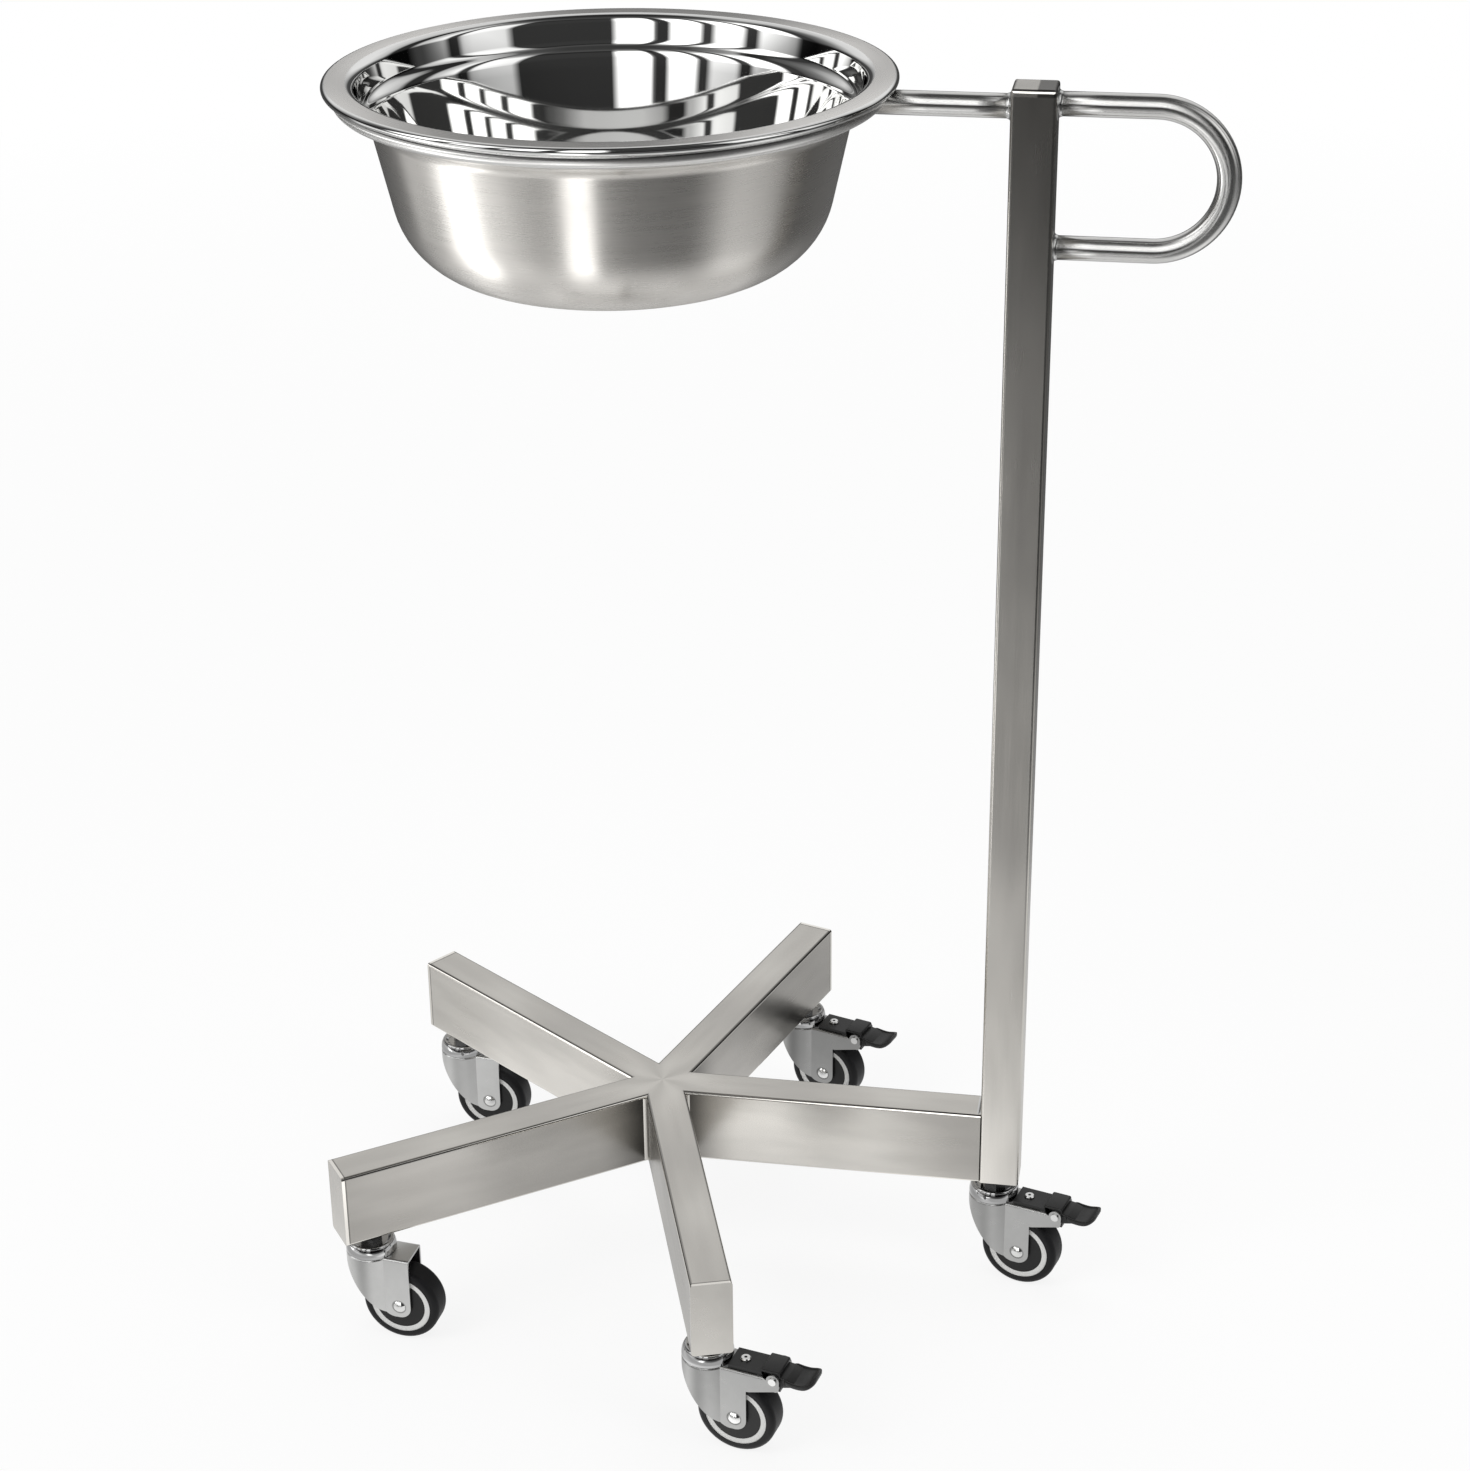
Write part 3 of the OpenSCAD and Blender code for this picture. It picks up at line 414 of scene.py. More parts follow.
def makeGroundBar(name, bend=None, ring=None):
    material = makePolishedRod(name, barLook["base"], barLook["rough"])
    tree = material.node_tree
    shader = tree.nodes["Principled BSDF"]
    shader.inputs["Anisotropic"].default_value = 1.0
    split = splitVector(tree, objectPlace(tree))
    if ring:
        away = mathNode(tree, "SUBTRACT", split[0], ring[0])
        aside = mathNode(tree, "SUBTRACT", split[1], ring[1])
        way = joinVector(tree, {0: mathNode(tree, "MULTIPLY", aside, -1.0), 1: away})
    elif bend:
        past = mathNode(tree, "MAXIMUM", mathNode(tree, "SUBTRACT", split[0], bend[0]), 0.0)
        above = mathNode(tree, "SUBTRACT", split[2], bend[1])
        way = joinVector(tree, {0: above, 2: mathNode(tree, "MULTIPLY", past, -1.0)})
    else:
        way = joinVector(tree, {0: 1.0})
    tree.links.new(vectorMath(tree, "NORMALIZE", way), shader.inputs["Tangent"])
    return material


# Moulded or coated parts: an even colour with slight haze and a fine skin
mouldLook = {"cloud": 11.0, "fade": 0.88, "dust": 0.002, "fadeShare": 0.5, "cloudShare": 0.5,
             "bump": {"Strength": 0.10, "Distance": 0.0002}}


def makeMoulded(name, base, rough, gloss, skinSize):
    look = mouldLook
    material, tree, shader = newMaterial(name)
    haze = useGroup(tree, surfaceHaze,
                    {"Vector": objectPlace(tree), "Cloud Size": look["cloud"], "Speck Size": skinSize})
    cloud, specks = spreadOutputs(tree, haze, "Cloud", "Specks")
    faded = tuple(c * look["fade"] + look["dust"] for c in base) + (1,)
    color = mixColors(tree, mathNode(tree, "MULTIPLY", cloud, look["fadeShare"]), scaledColor(base, 1), faded)
    tree.links.new(color, shader.inputs["Base Color"])
    worn = blendValues(tree, look["cloudShare"], cloud, specks)
    tree.links.new(mapRange(tree, worn, 0.0, 1.0, *rough), shader.inputs["Roughness"])
    addBump(tree, shader, haze.outputs["Specks"], **look["bump"])
    shader.inputs["Specular IOR Level"].default_value = gloss
    return material


# Zinc on pressed sheet: soft haze, with painted shade in a band along the bend and in a ring round the bolt. The forks'
# tones are painted light and shade, set against the photo's light; all of them at 1 give five forks alike. Places are
# in metres.
forkLook = {
    "base": (0.54, 0.54, 0.532), "rough": (0.27, 0.30), "trail": 0.0205, "axleHeight": 0.025,
    "tones": {"post": 0.87, "back_right": 0.66, "back_left": 1.16, "front_left": 1.16, "front": 0.72},
    "joint": (0.0040, 0.0052), "boltShadeLevel": 0.35, "bendShade": (-0.004, 0.003), "bendShadeLevel": 0.72,
    "haze": {"Cloud Size": 9.0, "Speck Size": 0.5}, "dull": 0.95,
}


def makeForkZinc(name, place):
    look = forkLook
    material, tree, shader = newMaterial(name)
    here = objectPlace(tree)
    haze = useGroup(tree, surfaceHaze, {"Vector": here, **look["haze"]})
    cloud = spread(tree, haze.outputs["Cloud"])
    moved = vectorMath(tree, "SUBTRACT", here, tuple(stemPlace(place)))
    turning = {"Vector": moved, "Angle": -math.radians(trailAngles[place])}
    split = splitVector(tree, addNode(tree, "ShaderNodeVectorRotate", turning, rotation_type="Z_AXIS").outputs[0])
    across = mathNode(tree, "SUBTRACT", split[0], look["trail"])
    above = mathNode(tree, "SUBTRACT", split[2], look["axleHeight"])
    fromAxle = longSide(tree, across, above)
    # Painted shade in a ring round the bolt head
    joint = mapRange(tree, fromAxle, *look["joint"], look["boltShadeLevel"], 1.0, "SMOOTHSTEP")
    # Painted shade in a band where the curved front meets the flat side
    low, high = look["bendShade"]
    fromBand = mathNode(tree, "ABSOLUTE", mathNode(tree, "SUBTRACT", split[0], (low + high) / 2))
    bendShade = mapRange(tree, fromBand, 0.0, high - low, look["bendShadeLevel"], 1.0, "SMOOTHSTEP")
    # Painted light and shade: each fork's colour is scaled by its own tone
    base = tuple(c * look["tones"][place] for c in look["base"])
    color = mixColors(tree, cloud, scaledColor(base, 1), scaledColor(base, look["dull"]))
    tree.links.new(multiplyColor(tree, color, mathNode(tree, "MULTIPLY", joint, bendShade)), shader.inputs["Base Color"])
    tree.links.new(mapRange(tree, cloud, 0.0, 1.0, *look["rough"]), shader.inputs["Roughness"])
    shader.inputs["Metallic"].default_value = 1.0
    return material


# Spun steel: the strokes run round the bowl's axis. Its faces are rolled out into a strip, as long as a ring of
# radius stripReach in metres. A fan of painted reflection is (from, to, least) against how far sideways a place on the
# rim lies.
spunLook = {
    "stripReach": 0.143, "stroke": {"Stroke Length": 30.0, "Stroke Width": 0.8, "Patch Size": 30.0},
    "strokeShare": 0.6, "roughShare": 0.6, "bumpStrength": 0.5, "bumpDistance": 0.0002,
}


def makeSpunSteel(name, base, rough, stretch, contrast, paintedSheenFan=None):
    look = spunLook
    material, tree, shader = newMaterial(name)
    split = splitVector(tree, vectorMath(tree, "SUBTRACT", objectPlace(tree), tuple(bowlAxis)))
    reach = longSide(tree, split[0], split[1])
    circle = mathNode(tree, "ARCTAN2", split[1], split[0])
    unrolled = joinVector(tree, {0: mathNode(tree, "MULTIPLY", circle, look["stripReach"]), 1: reach, 2: split[2]})
    grain = useGroup(tree, brushGrain, {"Vector": unrolled, **look["stroke"]})
    strokes, bands, patches = spreadOutputs(tree, grain, "Strokes", "Bands", "Patches")
    blend = blendValues(tree, look["strokeShare"], strokes, bands)
    color = mixColors(tree, blend, scaledColor(base, 1 - contrast), scaledColor(base, 1))
    if paintedSheenFan:
        # Painted reflection on the flat rim: darker at its far and near sides and full towards its two sides, where
        # rings of strokes shine
        aside = mathNode(tree, "ABSOLUTE", mathNode(tree, "DIVIDE", split[0], reach))
        color = multiplyColor(tree, color, mapRange(tree, aside, *paintedSheenFan, 1.0, "SMOOTHSTEP"))
    tree.links.new(color, shader.inputs["Base Color"])
    worn = blendValues(tree, look["roughShare"], blend, patches)
    tree.links.new(mapRange(tree, worn, 0.0, 1.0, *rough), shader.inputs["Roughness"])
    depth = {"Strength": contrast * look["bumpStrength"], "Distance": look["bumpDistance"]}
    addBump(tree, shader, grain.outputs["Strokes"], **depth)
    shader.inputs["Metallic"].default_value = 1.0
    shader.inputs["Anisotropic"].default_value = stretch
    # The reflection spreads across the strokes, towards and away from the axis
    normal = addNode(tree, "ShaderNodeNewGeometry").outputs["Normal"]
    ring = joinVector(tree, {0: mathNode(tree, "MULTIPLY", split[1], -1.0), 1: split[0]})
    side = vectorMath(tree, "CROSS_PRODUCT", normal, vectorMath(tree, "NORMALIZE", ring))
    tree.links.new(side, shader.inputs["Tangent"])
    return material


# The camera stands where the photo was taken from; angles in degrees, places in metres
studio = {
    "cameraPlace": (0.261082, -1.632688, 1.18135), "yaw": 9.832, "pitch": 26.008, "roll": -0.666,
    "focalPixels": 3055.27, "imageWidth": 1470, "sensor": 36, "clipEnd": 50,
    # name, place, size, power; all of them point at lampTarget
    "lampTarget": (0, 0, 0.4),
    "lamps": [("keyLamp", (-1.6, -1.4, 2.2), (1.2, 1.6), 26), ("fillLamp", (1.9, -0.9, 1.6), (1.0, 1.6), 12),
              ("topLamp", (0.0, 0.6, 2.6), (1.6, 1.2), 14)],
}


def newObject(name, data):
    made = bpy.data.objects.new(name, data)
    bpy.context.scene.collection.objects.link(made)
    return made


def makeCamera():
    yaw, pitch, roll = (math.radians(studio[key]) for key in ("yaw", "pitch", "roll"))
    forward = Vector((-math.sin(yaw) * math.cos(pitch), math.cos(yaw) * math.cos(pitch), -math.sin(pitch)))
    right = Vector((math.cos(yaw), math.sin(yaw), 0))
    upward = right.cross(forward)
    turnedRight = math.cos(roll) * right + math.sin(roll) * upward
    turnedUp = math.cos(roll) * upward - math.sin(roll) * right
    data = bpy.data.cameras.new("photoCamera")
    data.sensor_fit = "HORIZONTAL"
    data.sensor_width = studio["sensor"]
    data.lens = studio["focalPixels"] / studio["imageWidth"] * studio["sensor"]
    data.clip_end = studio["clipEnd"]
    camera = newObject("photoCamera", data)
    turning = Matrix((turnedRight, turnedUp, -forward)).transposed().to_4x4()
    camera.matrix_world = Matrix.Translation(studio["cameraPlace"]) @ turning
    bpy.context.scene.camera = camera


# How bright reflections find the studio, read as (degrees, brightness). In "dim", 0 is straight in front of
# the legs and positive angles lie on the camera's right; "front" and "back" run from -90, down, to 90, up.
roomSides = {
    "dim": [(-180, 0.9), (-140, 0.8), (-118, 0.25), (-98, 0.03), (-88, 0.03), (-84, 0.9), (-64, 1.0), (-61, 0.03),
            (-56, 0.03), (-53, 0.9), (-40, 0.8), (-37, 0.03), (-33, 0.03), (-31, 1.0), (-18, 1.0), (-16, 0.02),
            (-10, 0.02), (-8, 1.0), (7, 1.0), (11, 0.02), (58, 0.02), (62, 0.5), (84, 0.6), (87, 0.03), (92, 0.03),
            (95, 0.8), (112, 0.7), (118, 0.03), (132, 0.03), (140, 0.6), (160, 0.9), (180, 0.9)],
    "front": [(-90, 0.05), (0, 0.05), (4, 0.12), (7, 0.6), (12, 1.8), (25, 2.2), (46, 2.2), (52, 1.0), (58, 0.35),
              (66, 0.12), (73, 0.06), (90, 0.02)],
    "back": [(-90, 0.05), (0, 0.06), (9, 0.08), (14, 0.6), (18, 0.95), (30, 0.95), (38, 0.80), (46, 0.80),
             (56, 0.85), (62, 0.6), (68, 0.12), (74, 0.03), (90, 0.02)],
    # As shares of the way round and of the height: which part is the front, and where "dim" counts
    "isFront": [(0.20, 0.0), (0.28, 1.0), (0.72, 1.0), (0.80, 0.0)],
    "sidesCount": [(0.5, 1.0), (0.80, 1.0), (0.92, 0.0)],
    "overhead": 0.9, "plainLight": 0.55, "mostTall": 2.5, "mostSides": 1.0,
}
# The floor in reflections, against the distance from its middle in metres. Each band is
# (fades in, fades out, brightness by angle), with angles as in the room.
floorGlow = {
    "size": 9.0, "paint": 0.9, "rough": 0.9, "whiter": (0.8, 3.0, 0.86, 1.0),
    "middle": (-0.0872, 0.0007, 0), "reach": 3.2, "most": 8.0,
    "byDistance": [(0.0, 0.55), (0.13, 0.66), (0.19, 0.92), (0.24, 0.88), (0.31, 0.66), (0.45, 0.66), (0.56, 0.74),
                   (0.73, 0.47), (0.93, 0.36), (1.17, 0.24), (1.5, 0.18), (2.3, 0.12), (3.2, 0.08)],
    "bands": [
        ((0.5, 0.75), (1.7, 2.4),
         [(-180, 1.0), (-150, 0.8), (-125, 1.3), (-92, 1.8), (-84, 3.0), (-79, 7.9), (-66, 7.9), (-61, 2.2),
          (-45, 2.4), (-28, 1.4), (-16, 1.8), (-12, 6.5), (-1, 6.5), (3, 1.2), (10, 0.75), (22, 0.45), (40, 0.3),
          (54, 0.35), (64, 1.0), (76, 2.2), (100, 2.2), (112, 1.7), (118, 0.4), (150, 0.8), (180, 1.0)]),
        ((1.5, 2.1), None, [(-180, 1.0), (-112, 1.0), (-104, 7.5), (-44, 7.5), (-36, 1.0), (180, 1.0)]),
        ((0.14, 0.20), (0.30, 0.38), [(-180, 1.0), (-14, 1.0), (0, 1.5), (22, 1.5), (36, 1.0), (180, 1.0)]),
    ],
}


# Angle round the studio in turns, 0.5 in front of the legs and growing towards the camera's right
def angleAround(tree, way):
    circle = mathNode(tree, "ARCTAN2", way[0], mathNode(tree, "MULTIPLY", way[1], -1.0))
    return mathNode(tree, "ADD", mathNode(tree, "DIVIDE", circle, 2 * math.pi), 0.5)


def makeWorld():
    room = roomSides
    world = bpy.data.worlds.new("studioWorld")
    bpy.context.scene.world = world
    world.use_nodes = True
    tree = world.node_tree
    tree.nodes.clear()
    way = splitVector(tree, addNode(tree, "ShaderNodeTexCoord").outputs["Generated"])
    height = mathNode(tree, "ADD", mathNode(tree, "DIVIDE", mathNode(tree, "ARCSINE", way[2]), math.pi), 0.5)
    around = angleAround(tree, way)
    front = curveNode(tree, height, room["front"], -90, 90, room["mostTall"])
    back = curveNode(tree, height, room["back"], -90, 90, room["mostTall"])
    walls = mixColors(tree, rampNode(tree, around, room["isFront"]), back, front)
    # Straight up, the angle round the room no longer counts
    dim = curveNode(tree, around, room["dim"], -180, 180, room["mostSides"])
    sides = mixColors(tree, rampNode(tree, height, room["sidesCount"]), grey(room["overhead"]), dim)
    rays = addNode(tree, "ShaderNodeLightPath").outputs

    def background(color, strength):
        return addNode(tree, "ShaderNodeBackground", {"Color": color, "Strength": strength}).outputs[0]

    glossy = background(multiplyColor(tree, walls, sides), 1.0)
    lit = mixShaders(tree, rays["Is Glossy Ray"], background(grey(1), room["plainLight"]), glossy)
    seen = mixShaders(tree, rays["Is Camera Ray"], lit, background(grey(1), 1.0))
    addNode(tree, "ShaderNodeOutputWorld", {0: seen})


def makeFloor():
    look = floorGlow
    mesh = bpy.data.meshes.new("studioFloor")
    size = look["size"]
    mesh.from_pydata([(-size, -size, 0), (size, -size, 0), (size, size, 0), (-size, size, 0)], [], [(0, 1, 2, 3)])
    floor = newObject("studioFloor", mesh)
    material, tree, shader = newMaterial("paleFloor")
    shader.inputs["Base Color"].default_value = grey(look["paint"])
    shader.inputs["Roughness"].default_value = look["rough"]
    moved = vectorMath(tree, "SUBTRACT", objectPlace(tree), look["middle"])
    reach = vectorMath(tree, "LENGTH", moved)
    around = angleAround(tree, splitVector(tree, moved))
    share = mathNode(tree, "DIVIDE", reach, look["reach"], clamp=True)
    color = curveNode(tree, share, look["byDistance"], 0, look["reach"], 1.0)
    for rises, falls, byAngle in look["bands"]:
        counts = mapRange(tree, reach, *rises)
        if falls:
            counts = mathNode(tree, "MULTIPLY", counts, mapRange(tree, reach, *falls, 1.0, 0.0))
        level = curveNode(tree, around, byAngle, -180, 180, look["most"])
        color = multiplyColor(tree, color, mixColors(tree, counts, grey(1), level))
    rays = addNode(tree, "ShaderNodeLightPath").outputs
    white = addNode(tree, "ShaderNodeEmission", {"Color": grey(1), "Strength": 1.0}).outputs[0]
    glow = addNode(tree, "ShaderNodeEmission", {"Color": color, "Strength": 1.0}).outputs[0]
    # Towards the horizon the floor the camera sees goes over into the white background
    pale = mixShaders(tree, mapRange(tree, reach, *look["whiter"]), shader.outputs[0], white)
    seen = mixShaders(tree, rays["Is Camera Ray"], shader.outputs[0], pale)
    last = mixShaders(tree, rays["Is Glossy Ray"], seen, glow)
    tree.links.new(last, tree.nodes["Material Output"].inputs[0])
    mesh.materials.append(material)


def makeLamp(name, place, size, power):
    data = bpy.data.lights.new(name, "AREA")
    data.shape = "RECTANGLE"
    data.size, data.size_y = size
    data.energy = power
    lamp = newObject(name, data)
    lamp.location = place
    aim = Vector(studio["lampTarget"]) - Vector(place)
    lamp.rotation_euler = aim.to_track_quat("-Z", "Y").to_euler()
    lamp.visible_glossy = False


bpy.context.scene.view_settings.view_transform = "Standard"
makeCamera()
makeWorld()
makeFloor()
for lampSettings in studio["lamps"]:
    makeLamp(*lampSettings)
print("studio ready")


def addMesh(name, points, faces, materials, body, replaced, faceMaterials=None):
    mesh = bpy.data.meshes.new(name)
    mesh.from_pydata([tuple(point) for point in points], [], faces)
    for material in materials:
        mesh.materials.append(material)
    for index, face in enumerate(mesh.polygons):
        face.use_smooth = True
        if faceMaterials:
            face.material_index = faceMaterials[index]
    mesh.update()
    piece = newObject(name, mesh)
    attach(piece, body)
    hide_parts(*replaced)
    return piece


# A line through points with a round bend of the given radius at each inner point
def bendLine(points, radii, steps):
    line = [Vector(points[0])]
    for before, here, after, radius in zip(points, points[1:], points[2:], radii):
        before, here, after = Vector(before), Vector(here), Vector(after)
        toBefore, toAfter = (before - here).normalized(), (after - here).normalized()
        half = toBefore.angle(toAfter) / 2
        reach = radius / math.tan(half)
        centre = here + (toBefore + toAfter).normalized() * radius / math.sin(half)
        start, end = here + toBefore * reach - centre, here + toAfter * reach - centre
        turn = start.angle(end)
        for step in range(steps + 1):
            share = step / steps
            swung = start * math.sin((1 - share) * turn) + end * math.sin(share * turn)
            line.append(centre + swung / math.sin(turn))
    line.append(Vector(points[-1]))
    return line


# The same line moved sideways, to the left of its direction
def sideLine(line, distance):
    moved = []
    for index, here in enumerate(line):
        before, after = line[max(index - 1, 0)], line[min(index + 1, len(line) - 1)]
        way = (after - before).normalized()
        moved.append(here + Vector((-way.y, way.x)) * distance)
    return moved


# Turns a closed section of (radius, height) points round a vertical axis
def lathe(section, axis, segments):
    points, faces, tags = [], [], []
    count = len(section)
    for turn in range(segments):
        angle = 2 * math.pi * turn / segments
        for radius, height in section:
            points.append(axis + Vector((radius * math.cos(angle), radius * math.sin(angle), height)))
    for turn in range(segments):
        following = (turn + 1) % segments
        for index in range(count):
            after = (index + 1) % count
            if max(section[index][0], section[after][0]) < 1e-7:  # on the axis itself
                continue
            here, there = turn * count, following * count
            faces.append((here + index, there + index, there + after, here + after))
            tags.append(index)
    return points, faces, tags


# The bowl in millimetres, as (radius from its axis, height above the floor)
bowlSizes = {
    "fromHub": -15.5, "beadRing": 156.45, "beadRadius": 2.3, "beadTurn": (90, -216), "beadSteps": 32,
    "flangeTop": 773.5, "flangeDrop": 0.4, "sheet": 1.0, "pointGap": 6, "bendSteps": 14, "rollGap": 0.2,
    "collarCorner": (141.71, 773.0), "lipBend": 5.3, "satinFrom": 145.0,
    "ledgeTop": (138.05, 757.0), "ledgeLow": (133.45, 752.5), "ledgeBends": (8.0, 9.5),
    "footCorner": (113.66, 664.0), "footBend": 49.5, "segments": 256,
}
bowlAxis = hub + Vector((bowlSizes["fromHub"], 0, 0)) * mm


# The finishes are those of its outside, inside, flange and bead
def makeBowl(materials):
    b = bowlSizes
    half = b["sheet"] / 2
    corners = [(b["beadRing"], b["flangeTop"] - half), b["collarCorner"], b["ledgeTop"], b["ledgeLow"],
               b["footCorner"], (0.0, b["footCorner"][1])]
    middle = bendLine(corners, [b["lipBend"], *b["ledgeBends"], b["footBend"]], b["bendSteps"])
    # Extra points along the straight stretches keep the reflections smooth
    fine = []
    for here, after in zip(middle, middle[1:]):
        pieces = max(1, int((after - here).length / b["pointGap"]))
        fine += [here.lerp(after, step / pieces) for step in range(pieces)]
    fine.append(middle[-1])
    upper, lower = sideLine(fine, -half), sideLine(fine, half)
    beadHeight = b["flangeTop"] - b["beadRadius"]
    rolled = []
    first, last = (math.radians(turn) for turn in b["beadTurn"])
    for step in range(b["beadSteps"] + 1):
        angle = first + (last - first) * step / b["beadSteps"]
        across, above = b["beadRadius"] * math.cos(angle), b["beadRadius"] * math.sin(angle)
        rolled.append(Vector((b["beadRing"] + across, beadHeight + above)))
    joined = [point for point in lower if point.x < rolled[-1].x - b["rollGap"]]
    section = upper[::-1] + rolled[1:] + joined
    points, faces, tags = lathe([(max(p.x, 0) * mm, p.y * mm) for p in section], bowlAxis, b["segments"])
    beadFrom = len(upper) - 1
    # Which of the finishes each face has
    faceMaterials = []
    for tag in tags:
        if tag >= beadFrom:
            faceMaterials.append(3 if tag < beadFrom + b["beadSteps"] else 0)
        else:
            onFlange = section[tag].x > b["satinFrom"] and section[tag].y > b["flangeTop"] - b["flangeDrop"]
            faceMaterials.append(2 if onFlange else 1)
    addMesh("bowlShell", points, faces, materials, "bowl", ["bowl"], faceMaterials)


# The arm, the ring and the push handle, in millimetres
rodSizes = {
    "rod": 6.75, "ringRod": 6.25, "ring": 147.55, "ringHeight": 765.95, "armHeight": 761.85, "armSink": 1.0,
    "postIn": 205.5, "postOut": 230.5, "bendPlace": 284.0, "handleTop": 764.0, "handleGap": 80.0,
    "armPoints": (160, 185), "handleStraight": 25, "ringSteps": 192, "bendSteps": 48, "around": 48, "ringAround": 40,
}


# Sweeps a round section along a line of points: a flat ring, or an open line in the plane of x and z
def makeTube(name, line, radius, material, replaced, closed=False, around=rodSizes["around"]):
    points, faces = [], []
    count = len(line)
    side = Vector((0, 0, 1)) if closed else Vector((0, 1, 0))
    for index, here in enumerate(line):
        before = line[index - 1] if closed or index else line[0]
        after = line[(index + 1) % count] if closed or index < count - 1 else line[-1]
        other = (after - before).normalized().cross(side).normalized()
        for step in range(around):
            angle = 2 * math.pi * step / around
            points.append(here + (side * math.cos(angle) + other * math.sin(angle)) * radius)
    for index in range(count if closed else count - 1):
        start, following = index * around, (index + 1) % count * around
        for step in range(around):
            after = (step + 1) % around
            faces.append((start + step, start + after, following + after, following + step))
    if not closed:
        faces.append(tuple(range(around))[::-1])
        faces.append(tuple(range((count - 1) * around, count * around)))
    addMesh(name, points, faces, [material], "stand", replaced)


def makeRods():
    r = rodSizes
    bend = r["handleGap"] / 2
    bendMiddle = r["handleTop"] - bend
    straightBar = makeGroundBar("armPolish")
    ringBar = makeGroundBar("ringPolish", ring=(bowlAxis.x, bowlAxis.y))
    bentBar = makeGroundBar("handlePolish", bend=(hub.x + r["bendPlace"] * mm, bendMiddle * mm))
    ring = []
    for step in range(r["ringSteps"]):
        angle = 2 * math.pi * step / r["ringSteps"]
        ring.append(bowlAxis + Vector((r["ring"] * math.cos(angle), r["ring"] * math.sin(angle), r["ringHeight"])) * mm)
    makeTube("supportRing", ring, r["ringRod"] * mm, ringBar, ["support_ring"], closed=True, around=r["ringAround"])
    armFrom = bowlSizes["fromHub"] + r["ring"] - r["armSink"]
    arm = [hub + Vector((x, 0, r["armHeight"])) * mm for x in (armFrom, *r["armPoints"], r["postIn"])]
    makeTube("supportArm", arm, r["rod"] * mm, straightBar, ["support_arm"])
    straightTo, handleLow = r["postOut"] + r["handleStraight"], r["handleTop"] - r["handleGap"]
    line = [(r["postOut"], r["handleTop"]), (straightTo, r["handleTop"])]
    for step in range(r["bendSteps"] + 1):
        angle = math.pi / 2 - math.pi * step / r["bendSteps"]
        line.append((r["bendPlace"] + bend * math.cos(angle), bendMiddle + bend * math.sin(angle)))
    line += [(straightTo, handleLow), (r["postOut"], handleLow)]
    handle = [hub + Vector((x, 0, z)) * mm for x, z in line]
    makeTube("pushHandle", handle, r["rod"] * mm, bentBar, ["push_handle"])


# Joins closed rings with the same number of points into one skin, closed at both ends
def stackRings(rings):
    count = len(rings[0])
    points = [point for ring in rings for point in ring]
    faces = [tuple(range(count))[::-1], tuple(range((len(rings) - 1) * count, len(rings) * count))]
    for layer in range(len(rings) - 1):
        low, high = layer * count, (layer + 1) * count
        faces += [(low + i, low + (i + 1) % count, high + (i + 1) % count, high + i) for i in range(count)]
    return points, faces


# A closed outline, left-turning, moved inwards by the given distance
def insetLoop(loop, distance):
    moved = []
    for index, here in enumerate(loop):
        before, after = loop[index - 1], loop[(index + 1) % len(loop)]
        way = (after - before).normalized()
        moved.append(here + Vector((-way.y, way.x)) * distance)
    return moved


# A closed outline with a round corner of the given radius at each point
def roundLoop(corners, radii, steps=6):
    loop = []
    count = len(corners)
    for index in range(count):
        trio = [corners[index - 1], corners[index], corners[(index + 1) % count]]
        loop += bendLine(trio, [radii[index]], steps)[1:-1]
    return loop


# Brake pedals, in millimetres along from the swivel axis and up: a saddle block over the pin
# and a dished foot pad with a raised border
pedalSizes = {
    "pin": (45.2, 59.0), "hub": 4.1, "cam": (48.25, 57.0), "camRadius": 3.2, "half": 8.7, "edge": 0.7,
    "block": [(45.2, 58.2), (49.4, 60.6), (49.4, 64.7), (37.0, 64.7), (37.0, 62.8), (43.0, 62.6)],
    "blockBends": [0.5, 0.5, 1.3, 1.3, 0.4, 1.0],
    "web": [(47.0, 55.0), (50.0, 54.2), (59.0, 56.7), (58.0, 59.3), (53.0, 60.9), (49.0, 61.4), (46.0, 61.6)],
    "webBends": [0.5, 1.5, 0.8, 0.6, 3.0, 1.0, 0.5],
    "padFrom": 51.6, "padTo": 70.5, "padHalf": 10.0, "padCorner": 6.4, "padNear": 3.0,
    "dish": (60.5, 74.0), "dishRadius": 14.5, "flatter": 62.0,
    # From the pad's underside round its border to the dish: (distance inwards, height over the dish's face)
    "layers": [(1.2, -3.0), (0.4, -2.75), (0.0, -2.1), (0.0, -0.25), (0.12, 0.08), (0.45, 0.28), (0.9, 0.32),
               (1.35, 0.22), (1.65, -0.02), (1.95, -0.26), (2.4, -0.32)],
    "camInset": 0.1, "webInset": 0.2, "dishRings": (0.7, 0.4, 0.15), "underRing": 0.5,
    "circleSteps": 32, "padStep": 1.2, "cornerSteps": 10, "edgeTurns": (0, 30, 60, 90), "sharpAngle": 38,
}


# A side outline (along, height) carried across the caster, with rounded edges at both flanks
def flankedPrism(outline, half, edge):
    rings = []
    turns = pedalSizes["edgeTurns"]
    for side, degrees in [(-1, turn) for turn in turns] + [(1, turn) for turn in turns[::-1]]:
        turn = math.radians(degrees)
        across = side * (half - edge * (1 - math.cos(turn)))
        rings.append([Vector((p.x, across, p.y)) for p in insetLoop(outline, edge * (1 - math.sin(turn)))])
    return stackRings(rings)


def padHeight(along):
    centre, high = pedalSizes["dish"]
    if along < centre:
        return high - pedalSizes["dishRadius"] + (centre - along) ** 2 / pedalSizes["flatter"]
    return high - math.sqrt(pedalSizes["dishRadius"] ** 2 - (along - centre) ** 2)


